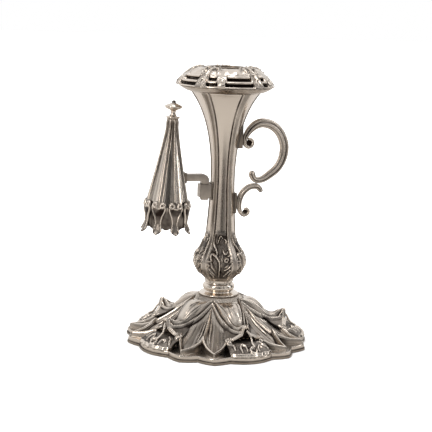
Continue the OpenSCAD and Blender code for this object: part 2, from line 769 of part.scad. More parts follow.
// Angles from one rib to the next, closer together at the rib's edges
panel_steps = [0, 4, 12, panel / 2, panel - 12, panel - 4];
cone_angles = [for (n = [0 : panels - 1]) each [for (u = panel_steps) panel_dir + n * panel + u]];
function from_rib(a) = let (x = (a - panel_dir) / panel) abs(x - round(x)) * panel;
function cone_out_r(h) =
  h >= 0
    ? cone_top_r + (cone_r - cone_top_r) * pow(max(0, 1 - h / cone_throat_h), 1.15)
    : cone_r - 1.3 * pow(-h / skirt_h, 0.6);
function cone_dip(h, a) = let (u = from_rib(a))
  u < 1 ? 0 :
  cone_out_r(h) * (0.03 + 0.05 * smooth((u - 4) / 12)) * smooth((cone_h - h) / 8) * smooth((h + 8) / 8);
// Height of the skirt's lower edge, which hangs in a scallop between two leaves
function skirt_edge(a) = -skirt_h + 2.2 * pow(1 - from_rib(a) / (panel / 2), 1.5);
skirt_levels = [0, -3.5, -8];
cone_levels = concat([cone_h, cone_h - 3], [for (i = [1 : 5]) (cone_h - 3) * (1 - i / 6)], skirt_levels);
module snuffer_cone() {
  angles = cone_angles;
  outer = [
    for (h = cone_levels) [for (a = angles) polar(cone_out_r(h) - cone_dip(h, a), a, h)]
  ];
  edge = [
    [for (a = angles) polar(cone_out_r(-skirt_h), a, skirt_edge(a))],
    [for (a = angles) polar(cone_out_r(-skirt_h) - cone_wall, a, skirt_edge(a))]
  ];
  inner = [
    for (h = [-6, 0, 0.4 * cone_h, 0.8 * cone_h, cone_h - 1.4])
      [for (a = angles) polar(0.945 * cone_out_r(h) - cone_wall, a, h)]
  ];
  hole = [
    [for (a = angles) polar(1, a, cone_h - 1.4)],
    [for (a = angles) polar(1, a, cone_h)]
  ];
  color(silver)
    on_snuffer()
      ring_solid(concat(outer, edge, inner, hole));
}

// Strap leaves round the skirt: a volute at the top, a waist and a flared tip
leaf_waist_h = -8;
leaf_tip_drop = 2;
leaf_levels = [3.2, 1.6, 0, -3.5, leaf_waist_h, 0.6 - skirt_h, -skirt_h - leaf_tip_drop];
leaf_half_w = [3, 4.1, 3.6, 2.4, 1.8, 2.6, 1];
function leaf_r(i) = let (h = leaf_levels[i])
  i <= 4 ? cone_out_r(h) + 0.15 : mix(cone_out_r(leaf_waist_h) + 0.15, flare_r, i == 5 ? 0.3 : 1);
module snuffer_leaves() {
  across = [-1, -0.5, 0, 0.5, 1];
  color(silver)
    on_snuffer()
      for (n = [0 : panels - 1]) rotate([0, 0, panel_dir + n * panel])
        sheet(
          [for (i = [0 : len(leaf_levels) - 1]) [for (c = across)
            let (r = leaf_r(i), a = c * leaf_half_w[i] / r * 180 / PI, up = i < 3 ? 1.5 : 0.9)
            polar(r + up - 0.35 * c * c, a, leaf_levels[i])]],
          [for (i = [0 : len(leaf_levels) - 1]) [for (c = across)
            let (r = leaf_r(i), a = c * leaf_half_w[i] / r * 180 / PI)
            polar(r, a, leaf_levels[i])]]);
}

module snuffer_collar() {
  color(silver)
    on_snuffer()
      translate([0, 0, cone_h + seam])
        rotate_extrude($fn = 48)
          polygon([[0.9, 0], [cone_top_r, 0], [3.75, 0.5], [3.75, 1.1], [1.9, 1.6], [0.9, 1.6]]);
}

// The finial: neck, button and tip, turned in one
module snuffer_knob() {
  color(silver)
    on_snuffer()
      translate([0, 0, cone_h + 1.6 + 2 * seam])
        rotate_extrude($fn = 48)
          polygon(concat(
            [[0, 0], [1.8, 0], [1.5, 0.8], [1.5, 2.4], [2, 3]],
            [for (a = [-50 : 20 : 70]) [2 + (knob_r - 2) * cos(a), 4.9 + 1.7 * sin(a)]],
            [[0.9, 7], [0.8, 7.7], [0, 8]]));
}

// The knob's shank, headed over inside the cone's small end
module snuffer_shank() {
  color(brass)
    on_snuffer()
      union() {
        translate([0, 0, cone_h - 1.6])
          cylinder(h = 3.2, r = 0.8, $fn = 32);
        translate([0, 0, cone_h - 2.2 - seam])
          cylinder(h = 0.8, r = 1.4, $fn = 32);
      }
}

foot_rim();
base_shell();
blossom_1();
blossom_2();
blossom_3();
blossom_4();
blossom_5();
base_collar();
tie_washer();
tie_nut();
tie_rod();
stem_plug();
stem_front();
stem_back();
socket_liner();
nozzle_cup();
nozzle_underplate();
nozzle_pan();
handle_loop();
handle_scroll();
handle_upper_lug();
handle_lower_lug();
bracket_backplate();
bracket_socket();
snuffer_cone();
snuffer_leaves();
snuffer_collar();
snuffer_knob();
snuffer_shank();
snuffer_hook();
hook_pad();
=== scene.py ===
# %% [markdown]
# # A silver-plated chamberstick
# This lesson dresses a candlestick whose pieces, sizes and joints come from a
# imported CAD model. Every piece is worked out in millimetres with numpy, given a
# wall so that it is closed, and handed to the body that it moves with.
# The frame comes first, because each later piece takes its place from it.

# %% Load the frame
import bpy
import bmesh
import json
import math
import numpy as np
from mathutils import Matrix, Vector

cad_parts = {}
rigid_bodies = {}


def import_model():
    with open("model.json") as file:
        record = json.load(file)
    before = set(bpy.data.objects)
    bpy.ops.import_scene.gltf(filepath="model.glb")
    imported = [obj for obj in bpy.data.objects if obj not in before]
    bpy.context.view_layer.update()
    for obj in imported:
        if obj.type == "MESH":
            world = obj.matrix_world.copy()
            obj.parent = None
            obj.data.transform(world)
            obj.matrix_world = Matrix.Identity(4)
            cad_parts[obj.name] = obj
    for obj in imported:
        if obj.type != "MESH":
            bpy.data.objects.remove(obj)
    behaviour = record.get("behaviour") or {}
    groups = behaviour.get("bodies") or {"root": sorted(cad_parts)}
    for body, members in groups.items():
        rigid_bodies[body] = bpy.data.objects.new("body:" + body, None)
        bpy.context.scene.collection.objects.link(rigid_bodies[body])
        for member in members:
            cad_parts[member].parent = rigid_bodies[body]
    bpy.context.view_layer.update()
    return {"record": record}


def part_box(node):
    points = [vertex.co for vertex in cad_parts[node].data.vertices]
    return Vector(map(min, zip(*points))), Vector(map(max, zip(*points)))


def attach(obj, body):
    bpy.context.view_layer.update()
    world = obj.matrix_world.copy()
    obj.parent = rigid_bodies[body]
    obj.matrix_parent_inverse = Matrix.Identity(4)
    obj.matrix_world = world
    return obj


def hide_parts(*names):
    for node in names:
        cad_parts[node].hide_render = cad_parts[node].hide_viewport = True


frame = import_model()
MM = 0.001

# %% [markdown]
# ## Reading sizes from the frame
# A node's box says where the real piece lies. Reading it here means that a
# changed size in the CAD model carries over without a second list of numbers.

# %% Boxes of the CAD nodes
def mm_box(node):
    low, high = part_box(node)
    return np.array(low) / MM, np.array(high) / MM


stem_low, stem_high = mm_box("stem_front")
COLLAR_TOP, STEM_TOP = stem_low[2], stem_high[2]
STEM_H = STEM_TOP - COLLAR_TOP
FOOT_T = mm_box("foot_rim")[1][2]
cup_low, cup_high = mm_box("nozzle_cup")
print("stem from", round(COLLAR_TOP, 1), "to", round(STEM_TOP, 1), "mm")

# %% [markdown]
# ## Colours
# Colours are picked as sRGB hex values, the way a paint program shows them,
# and Blender's shaders want linear light, so one function turns them.

# %% Hex colour to linear
def linear(code):
    values = [int(code[i:i + 2], 16) / 255 for i in (1, 3, 5)]
    curve = [v / 12.92 if v <= 0.04045 else ((v + 0.055) / 1.055) ** 2.4 for v in values]
    return (*curve, 1.0)


# %% [markdown]
# ## Building materials
# A material is a small tree of nodes. One helper adds a node, sets its
# properties, fills its sockets and links what is handed to it.

# %% A helper that adds one node
def add(tree, kind, settings=None, **sockets):
    node = tree.nodes.new(kind)
    for name, value in (settings or {}).items():
        setattr(node, name, value)
    for name, value in sockets.items():
        key = int(name[1:]) if name[1:].isdigit() else name.replace("_", " ")
        if isinstance(value, bpy.types.NodeSocket):
            tree.links.new(value, node.inputs[key])
        else:
            node.inputs[key].default_value = value
    return node


# %% [markdown]
# ## Silver plate
# Silver plate is electroplated silver over base metal. It is polished by hand,
# so the high places are bright and the hollows keep a brown-black tarnish.
# The depth of a hollow is worked out with each mesh and kept as an attribute,
# which carries that tarnish and also painted shade on undersides, inside mouths
# and where a surface turns under. An occlusion node darkens the colour where two
# pieces meet, painted shade together with the tarnish that gathers there.

# %% The silver material
# How far the occlusion darkening reaches, in mm: painted shade together with tarnish
TARNISH_AND_SHADE_REACH = 1.4


def silver_plate(name, bright, tarnish, roughness):
    material = bpy.data.materials.new(name)
    material.use_nodes = True
    tree = material.node_tree
    tree.nodes.clear()
    place = add(tree, "ShaderNodeTexCoord").outputs["Object"]
    depth = add(tree, "ShaderNodeAttribute", {"attribute_name": "recess"}).outputs["Fac"]
    # Occlusion darkens the colour in narrow gaps and where pieces meet: painted shade together with tarnish
    corner = add(tree, "ShaderNodeAmbientOcclusion", {"samples": 8, "only_local": False},
                 Distance=TARNISH_AND_SHADE_REACH * MM).outputs["AO"]
    gap_tarnish_and_shade = add(tree, "ShaderNodeMapRange", None,
                 Value=corner, From_Min=0.2, From_Max=0.7, To_Min=0.6, To_Max=0.0)
    # Patches of tarnish about 9 mm across, uneven as hand polishing leaves them
    patches = add(tree, "ShaderNodeTexNoise", None, Vector=place, Scale=110.0, Detail=4.0, Roughness=0.6)
    uneven = add(tree, "ShaderNodeMapRange", None,
                 Value=patches.outputs["Fac"], From_Min=0.35, From_Max=0.7, To_Min=0.75, To_Max=1.25)
    both = add(tree, "ShaderNodeMath", {"operation": "MAXIMUM"}, i0=depth, i1=gap_tarnish_and_shade.outputs["Result"])
    tarnish_and_shade_cover = add(tree, "ShaderNodeMath", {"operation": "MULTIPLY", "use_clamp": True},
                i0=both.outputs[0], i1=uneven.outputs["Result"])
    colour = add(tree, "ShaderNodeMix", {"data_type": "RGBA"},
                 i0=tarnish_and_shade_cover.outputs[0], i6=linear(bright), i7=linear(tarnish))
    # Fine rubbing marks, about 0.25 mm apart, drawn coarser than real ones so that they show
    marks = add(tree, "ShaderNodeTexNoise", None, Vector=place, Scale=2600.0, Detail=3.0, Roughness=0.7)
    dull = add(tree, "ShaderNodeMath", {"operation": "MULTIPLY_ADD"},
               i0=tarnish_and_shade_cover.outputs[0], i1=0.28, i2=roughness)
    rough = add(tree, "ShaderNodeMath", {"operation": "MULTIPLY_ADD"},
                i0=marks.outputs["Fac"], i1=0.08, i2=dull.outputs[0])
    relief = add(tree, "ShaderNodeBump", None, Strength=0.06, Distance=0.02 * MM,
                 Height=marks.outputs["Fac"])
    skin = add(tree, "ShaderNodeBsdfPrincipled", None, Base_Color=colour.outputs[2],
               Roughness=rough.outputs[0], Metallic=1.0, Normal=relief.outputs["Normal"])
    add(tree, "ShaderNodeOutputMaterial", None, Surface=skin.outputs["BSDF"])
    return material


SILVER = silver_plate("polished silver plate", "#DED3C7", "#2D2420", 0.13)
SILVER_WORN = silver_plate("worn silver plate", "#B9AC9E", "#2A2320", 0.22)
SILVER_DARK = silver_plate("tarnished silver plate", "#85796D", "#211C19", 0.34)

# %% [markdown]
# ## Brass and steel
# The nut, washer and plug are plain turned brass, and the rod is drawn steel.
# Turning leaves fine rings round the axis, which a wave texture draws.

# %% Turned metals for the hidden fixing
def turned_metal(name, colour, shade, roughness):
    material = bpy.data.materials.new(name)
    material.use_nodes = True
    tree = material.node_tree
    tree.nodes.clear()
    place = add(tree, "ShaderNodeTexCoord").outputs["Object"]
    rings = add(tree, "ShaderNodeTexWave", {"wave_type": "RINGS", "rings_direction": "Z"},
                Vector=place, Scale=900.0, Distortion=1.5, Detail=2.0)
    stains = add(tree, "ShaderNodeTexNoise", None, Vector=place, Scale=260.0, Detail=4.0)
    tint = add(tree, "ShaderNodeMix", {"data_type": "RGBA"},
               i0=stains.outputs["Fac"], i6=linear(colour), i7=linear(shade))
    rough = add(tree, "ShaderNodeMath", {"operation": "MULTIPLY_ADD"},
                i0=rings.outputs["Fac"], i1=0.12, i2=roughness)
    skin = add(tree, "ShaderNodeBsdfPrincipled", None, Base_Color=tint.outputs[2],
               Roughness=rough.outputs[0], Metallic=1.0)
    add(tree, "ShaderNodeOutputMaterial", None, Surface=skin.outputs["BSDF"])
    return material


BRASS = turned_metal("turned brass", "#C3A165", "#8C6B3C", 0.26)
STEEL = turned_metal("drawn steel", "#9A9B9D", "#6E6A66", 0.3)
SLOT_MATERIALS = {"silver": SILVER, "silver_worn": SILVER_WORN, "silver_dark": SILVER_DARK,
                  "brass": BRASS, "steel": STEEL}
print("materials:", ", ".join(SLOT_MATERIALS))

# %% [markdown]
# ## Meshes from grids
# Most pieces here are a grid of points. A ring closes on itself both ways, as
# a tyre does. A sheet has an upper and a lower grid, joined all round.

# %% Faces of a grid, and a mesh piece from points and faces
def grid_faces(rows, cols, close_rows, close_cols, start=0, flip=False):
    i = np.arange(rows if close_rows else rows - 1)
    j = np.arange(cols if close_cols else cols - 1)
    i, j = np.meshgrid(i, j, indexing="ij")
    i2, j2 = (i + 1) % rows, (j + 1) % cols
    quads = np.stack([i * cols + j, i * cols + j2, i2 * cols + j2, i2 * cols + j], -1).reshape(-1, 4)
    return start + (quads[:, ::-1] if flip else quads)


def make_piece(name, points, faces, recess=None, flat=False):
    mesh = bpy.data.meshes.new(name)
    mesh.from_pydata((np.asarray(points) * MM).tolist(), [], [list(map(int, f)) for f in faces])
    if recess is not None:
        mesh.attributes.new("recess", "FLOAT", "POINT").data.foreach_set(
            "value", np.clip(np.ravel(recess), 0, 1).astype(np.float32))
    mesh.validate()
    mesh.update()
    mesh.polygons.foreach_set("use_smooth", np.full(len(mesh.polygons), not flat))
    piece = bpy.data.objects.new(name, mesh)
    bpy.context.scene.collection.objects.link(piece)
    return piece


# %% Turning a closed mesh's faces outwards by the sign of its volume
def face_out(piece):
    work = bmesh.new()
    work.from_mesh(piece.data)
    bmesh.ops.recalc_face_normals(work, faces=work.faces)
    if work.calc_volume(signed=True) < 0:
        bmesh.ops.reverse_faces(work, faces=work.faces)
    work.to_mesh(piece.data)
    work.free()
    return piece


# %% A closed ring and a closed sheet
def ring_mesh(loops):
    loops = np.asarray(loops, float)
    return loops.reshape(-1, 3), grid_faces(loops.shape[0], loops.shape[1], True, True)


def sheet_mesh(upper, lower):
    rows, cols = upper.shape[:2]
    n = rows * cols
    edge = np.concatenate([np.arange(cols), np.arange(1, rows) * cols + cols - 1,
                           (rows - 1) * cols + np.arange(cols - 2, -1, -1),
                           np.arange(rows - 2, 0, -1) * cols])
    after = np.roll(edge, -1)
    rim = np.stack([edge, n + edge, n + after, after], -1)
    points = np.concatenate([upper.reshape(-1, 3), lower.reshape(-1, 3)])
    faces = np.concatenate([grid_faces(rows, cols, False, False),
                            grid_faces(rows, cols, False, False, n, True), rim])
    return points, faces


# %% [markdown]
# ## Handing a piece over
# A finished piece gets its material by the slot's name, rides on a CAD body,
# and hides the CAD nodes that it stands for.

# %% Finish a piece
def hand_over(piece, body, slot, *nodes):
    piece.data.materials.clear()
    piece.data.materials.append(SLOT_MATERIALS[slot])
    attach(piece, body)
    if nodes:
        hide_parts(*nodes)
    print(piece.name, len(piece.data.polygons), "faces")
    return piece


# %% [markdown]
# ## Drawing relief
# A chaser raises ornament line by line over a ground that is left dark. Here a
# line is a smooth path on the flat pattern. Each point of a grid takes a height
# from its distance to the path, and a darkening too: the line is polished bright,
# and the ground close beside it is darkened, tarnish together with painted shade.

# %% Smooth steps and curves
def smooth(x):
    c = np.clip(x, 0, 1)
    return c * c * (3 - 2 * c)


def mix(a, b, t):
    return a + (b - a) * t


def spline(knots, steps=8):
    p = np.asarray(knots, float)
    p = np.concatenate([2 * p[:1] - p[1:2], p, 2 * p[-1:] - p[-2:-1]])
    t = np.linspace(0, 1, steps, endpoint=False)[:, None]
    run = [0.5 * (2 * b + (c - a) * t + (2 * a - 5 * b + 4 * c - d) * t ** 2
                  + (3 * b - a - 3 * c + d) * t ** 3)
           for a, b, c, d in zip(p[:-3], p[1:-2], p[2:-1], p[3:])]
    return np.concatenate(run + [p[-2:-1]])


def curve(x, knots):
    """A smooth function through a few knots."""
    path = spline(knots, 12)
    return np.interp(x, path[:, 0], path[:, 1])


# %% Raised lines over a dark ground
def nearest(points, path):
    best = np.full(len(points), 1e9)
    along = np.zeros(len(points))
    lengths = np.linalg.norm(np.diff(path, axis=0), axis=1)
    total, done = max(lengths.sum(), 1e-9), 0.0
    for start, end, length in zip(path[:-1], path[1:], lengths):
        d = end - start
        t = np.clip(((points - start) @ d) / max(d @ d, 1e-12), 0, 1)
        gap = np.linalg.norm(points - start - t[:, None] * d, axis=1)
        closer = gap < best
        best = np.where(closer, gap, best)
        along = np.where(closer, (done + t * length) / total, along)
        done += length
    return best, along


def chase(across, along_mm, strokes, moat=0.3):
    """Height of the raised lines, how far each point lies on a line, and how near it is to one."""
    across, along_mm = np.broadcast_arrays(across, along_mm)
    points = np.stack([across, along_mm], -1).reshape(-1, 2)
    high, on, near = np.zeros((3, len(points)))
    for knots, half_width, height, *ends in strokes:
        first, last = ends or (0.6, 0.6)
        gap, along = nearest(points, spline(knots, 5))
        width = half_width * mix(first, 1, smooth(along / 0.35)) * mix(last, 1, smooth((1 - along) / 0.35))
        q = gap / width
        high = np.maximum(high, height * np.clip(1 - q ** 2, 0, 1) ** 0.75 * (width / half_width) ** 0.5)
        on = np.maximum(on, smooth((1.15 - q) / 0.5))
        near = np.maximum(near, smooth((2.6 - q) / 1.2))
    high -= moat * near * (1 - on)
    return [part.reshape(across.shape) for part in (high, on, near)]


def cut(across, along_mm, path, width):
    """How near each point lies to the middle of a cut line."""
    across, along_mm = np.broadcast_arrays(across, along_mm)
    gap, _ = nearest(np.stack([across, along_mm], -1).reshape(-1, 2), path)
    return np.exp(-(gap / width) ** 2).reshape(across.shape)


def ring_path(x, y, radius, start=0, end=300):
    return [(x + radius * math.cos(math.radians(a)), y + radius * math.sin(math.radians(a)))
            for a in range(start, end + 1, 30)]


# %% How deep each place lies below what is round it
def hollows(grid, spread, scale, wrap=True, outside=None):
    """Depth of each point of a grid below the blurred grid round it, from 0 to 1."""
    blurred = grid.astype(float)
    kernel = np.hanning(2 * spread + 3)[1:-1]
    kernel /= kernel.sum()
    for axis in (0, 1):
        widths = [(spread, spread) if a == axis else (0, 0) for a in (0, 1, 2)]
        padded = np.pad(blurred, widths, mode="wrap" if wrap and axis == 1 else "edge")
        blurred = sum(k * np.take(padded, range(n, n + grid.shape[axis]), axis)
                      for n, k in enumerate(kernel))
    normal = np.cross(np.gradient(grid, axis=0), np.gradient(grid, axis=1))
    toward = grid if outside is None else outside
    if np.sum(normal * toward) < 0:
        normal = -normal
    normal /= np.maximum(np.linalg.norm(normal, axis=2, keepdims=True), 1e-9)
    return smooth(np.sum((blurred - grid) * normal, axis=2) / scale)


# %% [markdown]
# ## The plan of the base
# The base is stamped from sheet in five equal parts. In each part two pointed
# petals lie side by side, and between the pairs a bud swells out under an
# applied blossom. A few formulas in radius and angle draw one part, and the
# mesh repeats it five times, so every part is exactly alike.

# %% Sizes of the base, as the CAD source has them
SECTORS = 5
SECTOR = 360 / SECTORS
PAIR_DIR = 24.0
TIP_A, PAIR_A = 10.5, 21.0
BASE_R, BASE_H, SEAT_R, HOLE_R = 49.4, 25.2, 11.4, 9.0
PETAL_TIP_H, NOTCH_DEPTH = 4.6, 12.8
CREST_R, RIM_W = 48.6, 3.0
BORDER_Z = FOOT_T + 1.3
RIDGE_START_R, BUD_TIP_R, RIDGE_POWER = 13.5, 36.0, 1.54
BASE_WALL = 1.1


def outline_r(t):
    a = np.abs(t)
    leaf = 2.3 * np.sin(np.radians(90 * np.clip((a - PAIR_A) / (SECTOR / 2 - PAIR_A), 0, 1)))
    return BASE_R - 3.6 * np.where(a < PAIR_A, (np.abs(a - TIP_A) / TIP_A) ** 1.2, 1) \
        + np.where(a < PAIR_A, 0, leaf)


def crest_r(t):
    a = np.abs(t)
    petal = 0.9 + (NOTCH_DEPTH - 0.9) * (np.abs(a - TIP_A) / TIP_A) ** 0.9
    return CREST_R - np.where(a < PAIR_A, petal, NOTCH_DEPTH - 1.2 * smooth((a - PAIR_A) / 10))


def dome_z(r):
    return PETAL_TIP_H + (BASE_H - PETAL_TIP_H) * np.clip((CREST_R - r) / (CREST_R - SEAT_R), 0, 1) ** 1.7


def ridge_w(r):
    """Distance of the ridge from the blossom's axis."""
    share = np.clip((r - RIDGE_START_R) / (BUD_TIP_R - RIDGE_START_R), 0, 1)
    return np.radians(SECTOR / 2 * (1 - share ** (1 / RIDGE_POWER))) * r


def ridge_line(offset):
    r = np.linspace(RIDGE_START_R, BUD_TIP_R, 24)
    line = np.stack([ridge_w(r), r], -1)
    ahead = np.gradient(line, axis=0)
    ahead /= np.linalg.norm(ahead, axis=1, keepdims=True)
    return line + offset * np.stack([-ahead[:, 1], ahead[:, 0]], -1)


RIDGES = [(ridge_line(0.9), 0.72, 1.15, 0.7, 0.9), (ridge_line(-0.9), 0.72, 1.0, 0.7, 0.9)]
FOLDS = [([(0, 17), (0, 24), (0, 30), (0, 36.8)], 0.9, 1.2, 0.3, 1.0),
         ([(1.0, 20), (1.9, 25), (2.4, 30), (3.6, 35)], 0.5, 0.5, 0.3, 0.3)]


# %% Turning radius and angle into points
def polar(r, a, z):
    r, a, z = np.broadcast_arrays(r, np.radians(a), z)
    return np.stack([r * np.cos(a), r * np.sin(a), z], -1).astype(float)


def turned(points, degrees):
    a = math.radians(degrees)
    return points @ np.array([[math.cos(a), math.sin(a), 0], [-math.sin(a), math.cos(a), 0], [0, 0, 1]])


def five_times(part, first):
    """Repeat one sector's columns round the axis."""
    return np.concatenate([turned(part, first + SECTOR * n) for n in range(SECTORS)], axis=1)


# %% [markdown]
# ## Petals, ridges and rim
# A double ridge leaves the top of each petal pair and runs out over the bud to
# its tip. Each petal is a trough with a broad rolled rim, and a fold stands
# between the two. Below the rim the wall drops in pleats to the border.

# %% The stamped base as one closed ring
t = np.linspace(-SECTOR / 2, SECTOR / 2, 150, endpoint=False)[None, :]
a = np.abs(t)
under_leaf = smooth((a - PAIR_A) / 5)
crest, outline = crest_r(t), outline_r(t)
tip = smooth(1 - np.abs(a - TIP_A) / 6)
notch = smooth((np.abs(a - TIP_A) / TIP_A - 0.3) / 0.5) * (1 - under_leaf)


def trough(r):
    bowl = np.sin(np.radians(180 * np.clip(a / PAIR_A, 0, 1))) ** 0.8
    return smooth((r - RIDGE_START_R - (BUD_TIP_R - RIDGE_START_R) * (a / (SECTOR / 2)) ** RIDGE_POWER) / 7) * bowl


s = np.linspace(0, 1, 76)[:, None]
r_face = mix(SEAT_R, crest - RIM_W, s)
ridge, on_ridge, by_ridge = chase(np.radians(SECTOR / 2 - a) * r_face, r_face, RIDGES, 0.5)
fold, on_fold, by_fold = chase(np.radians(a) * r_face, r_face, FOLDS, 0.25)
furrow = cut(np.radians(SECTOR / 2 - a) * r_face, r_face, ridge_line(0), 0.34)
veins = 0.045 * (np.cos(np.radians(360 * a / 2.6)) + np.cos(np.radians(360 * a / 4.3 + 70))) * trough(r_face)
z_face = dome_z(r_face) + ridge - 0.5 * furrow + fold * (1 - on_ridge) - 2.1 * trough(r_face) + veins \
    + 0.1 * np.cos(np.radians(360 * a / 3)) * smooth((18 - r_face) / 3)
q = np.linspace(0, 1, 14)[1:, None]
r_rim = crest - RIM_W + (RIM_W + 0.5) * q
z_rim = mix(z_face[-1:], dome_z(crest) - 0.4 + 0.9 * tip, q) + 1.6 * (1 - under_leaf) * np.sin(np.pi * q) ** 0.6
w = np.linspace(0, 1, 12)[1:, None]
pleats = 0.45 * notch * np.cos(np.radians(360 * a / 4.2)) * np.sin(np.pi * w)
r_wall = crest + 0.5 + mix(0.35, 2.3, under_leaf) * w + pleats
z_wall = mix(z_rim[-1:], mix(BORDER_Z + 0.5, BORDER_Z + 1.6, under_leaf), w)
f = np.linspace(0, 1, 8)[1:, None]
shelf = np.maximum(outline - 1.0, r_wall[-1:])
r_floor = mix(r_wall[-1:], shelf, f)
z_floor = mix(z_wall[-1:], BORDER_Z + 0.15, smooth(f))
b = np.linspace(0, 1, 10)[1:, None]
r_edge = shelf + 1.0 * np.sin(np.radians(90 * np.minimum(1, 1.6 * b)))
z_edge = BORDER_Z + 0.15 + 0.5 * np.sin(np.pi * np.minimum(1, 1.6 * b)) \
    - (BORDER_Z + 0.15 - FOOT_T) * smooth((b - 0.45) / 0.55)
top = np.concatenate([polar(HOLE_R, t, BASE_H)] + [polar(r, t, z) for r, z in (
    (r_face, z_face), (r_rim, z_rim), (r_wall, z_wall), (r_floor, z_floor), (r_edge, z_edge))])
under_s = np.array([0.97, 0.8, 0.6, 0.4, 0.2, 0.06])[:, None]
r_under = mix(SEAT_R, crest - RIM_W, under_s)
z_under = np.maximum(dome_z(r_under) - 2.1 * trough(r_under) - BASE_WALL, FOOT_T + 0.4)
under = [polar(crest - 1.2, t, FOOT_T), polar(r_under, t, z_under),
         polar(SEAT_R - 0.6, t, BASE_H - BASE_WALL), polar(HOLE_R, t, BASE_H - BASE_WALL)]
# The colour is darkened in the furrows, troughs and hollows and beside the ridges and folds: tarnish together with
# painted shade. Painted shade alone darkens the rim where it turns down, the pleated wall under it, the border where
# it turns under, and the underside.
face_shade = 0.12 + 0.75 * by_ridge * (1 - on_ridge) + 0.95 * furrow + 0.6 * by_fold * (1 - on_fold) \
    + 0.8 * (1 - under_leaf) * smooth((s - 0.92) / 0.08) * smooth((r_face - 24) / 6) \
    + 0.25 * smooth((15 - r_face) / 2) + 0.42 * trough(r_face) - 1.6 * veins - 0.4 * on_ridge - 0.4 * on_fold
shades = [np.full(t.shape, 0.5), face_shade, mix(0.4, 0.0, smooth(q * 4)) + 0.5 * smooth((q - 0.88) / 0.12) + 0 * t,
          mix(0.6, 0.2, w) + 0.3 * notch, 0.4 + 0 * r_floor, mix(0.6, 0.1, smooth(b * 2.5)) + 0.8 * smooth((b - 0.7) / 0.3) + 0 * t]
shade = np.concatenate(shades + [np.full((len(under[1]) + 3, t.shape[1]), 0.8)])
base_grid = five_times(np.concatenate([top] + under), PAIR_DIR)
base_shade = np.tile(shade, (1, SECTORS)) + 0.5 * hollows(base_grid, 4, 0.45)
base = make_piece("stamped_base", *ring_mesh(base_grid), base_shade)
hand_over(face_out(base), "stick", "silver", "base_shell")

# %% [markdown]
# ## The border wire
# A flat wire is soldered under the stamped edge, so that the thin sheet has
# something firm to stand on. Its outer edge is rounded by wear.

# %% Border wire
wire_profile = [(-3.6, 0.0), (0.2, 0.0), (0.42, 0.12), (0.5, 0.4), (0.5, FOOT_T - 0.4),
                (0.42, FOOT_T - 0.12), (0.2, FOOT_T), (-3.6, FOOT_T)]
wire_grid = five_times(np.concatenate([polar(outline + dr, t, z) for dr, z in wire_profile]), PAIR_DIR)
# The wire is painted darker at its foot and where its top lies under the stamped edge: painted shade.
wire_shade = np.array([0.8, 0.6, 0.4, 0.3, 0.35, 0.8, 1.0, 1.0])[:, None] + np.zeros(wire_grid.shape[:2])
wire = make_piece("border_wire", *ring_mesh(wire_grid), wire_shade)
hand_over(face_out(wire), "stick", "silver_worn", "foot_rim")

# %% [markdown]
# ## The blossoms
# Each blossom is a separate casting soldered over a bud: a smooth egg between
# the ridges, a hood that rises to an arched mouth, and under it an acanthus
# leaf that falls to the border. One grid runs over the egg and the hood, in
# under the arch, and out over the leaf, so the mouth is truly hollow.

# %% Lines of the blossom, as strokes across its axis and out from the centre
CURLS = [(ring_path(9.3, 36.4, 1.3, -90, 210), 0.6, 1.2, 0.8, 0.5)]
LEAF_STROKES = [
    ([(-5.2, 45.2), (-5.2, 42.2), (-3.9, 40.4), (-2.4, 41.8), (-2.3, 44.6)], 0.5, 0.7),
    ([(5.6, 38.9), (7.2, 39.6), (8.8, 41.8), (10.4, 43.8)], 0.55, 0.7),
    ([(4.2, 45.4), (4.4, 42.8), (5.8, 41.8), (6.8, 43.4)], 0.5, 0.6),
    ([(-9.6, 38.4), (-8.0, 40.2), (-8.4, 43.2)], 0.5, 0.6),
    (ring_path(0.8, 45, 1.7), 0.6, 1.0, 1, 1),
]


def blossom_w(r):
    return curve(r, [(13, 7.6), (14, 7.9), (16, 7.5), (18, 7.2), (20, 6.85), (22, 6.4), (24, 6.9), (28, 8.5),
                     (33, 10.3), (36.5, 11), (40, 10.7), (45, 11.5), (50, 12.4), (52, 12.6)])


def leaf_z(r):
    return curve(r, [(33, 9.0), (36.4, 8.9), (39.6, 8.4), (43.1, 6.9), (46, 5.2), (48.2, 3.9), (50, 3.2)])


# %% The outer grid of one blossom
BACK_R = 13.8
c = np.linspace(-1, 1, 121)[None, :]
mouth_r = 36.4 + 0.7 * c ** 2
s = np.linspace(0, 1, 62)[:, None]
r_hood = mix(BACK_R, mouth_r, s)
w_hood = c * blossom_w(r_hood)
bud_w = np.maximum(ridge_w(r_hood) - 0.4, 2.5)
bud = curve(r_hood, [(13.5, 0), (14.5, 0.5), (16, 2.2), (18, 3.8), (20, 4.6), (22, 4.6), (24, 4.0), (26, 2.7),
                     (27.5, 2.3), (29, 2.9), (31, 4.2), (34, 6.6), (36.5, 8.2), (38, 8.5)]) \
    * np.sqrt(np.clip(1 - (w_hood / bud_w) ** 2, 0, 1))
crease = np.exp(-((np.abs(w_hood) - 0.42 * bud_w) / 0.42) ** 2) * smooth((r_hood - 14.5) / 3) \
    * smooth((27 - r_hood) / 4)
bud = bud - 0.35 * crease
flare = curve(r_hood, [(21, 0), (24, 0.5), (28, 1.9), (32, 3.8), (36.5, 5.6), (38, 6)]) * (1 - np.abs(c)) ** 1.3
lines, on_line, by_line = chase(np.abs(w_hood), r_hood, RIDGES + CURLS, 0.3)
rim = 1.0 * np.exp(-((s - 0.965) / 0.028) ** 2) * smooth((1 - np.abs(c)) / 0.1)
hatch = 0.12 * np.sin(5.2 * w_hood) * np.sin(3.4 * r_hood) * smooth((np.abs(w_hood) - bud_w) / 0.8) \
    * smooth((r_hood - 23) / 3) * smooth((0.92 - s) / 0.06)
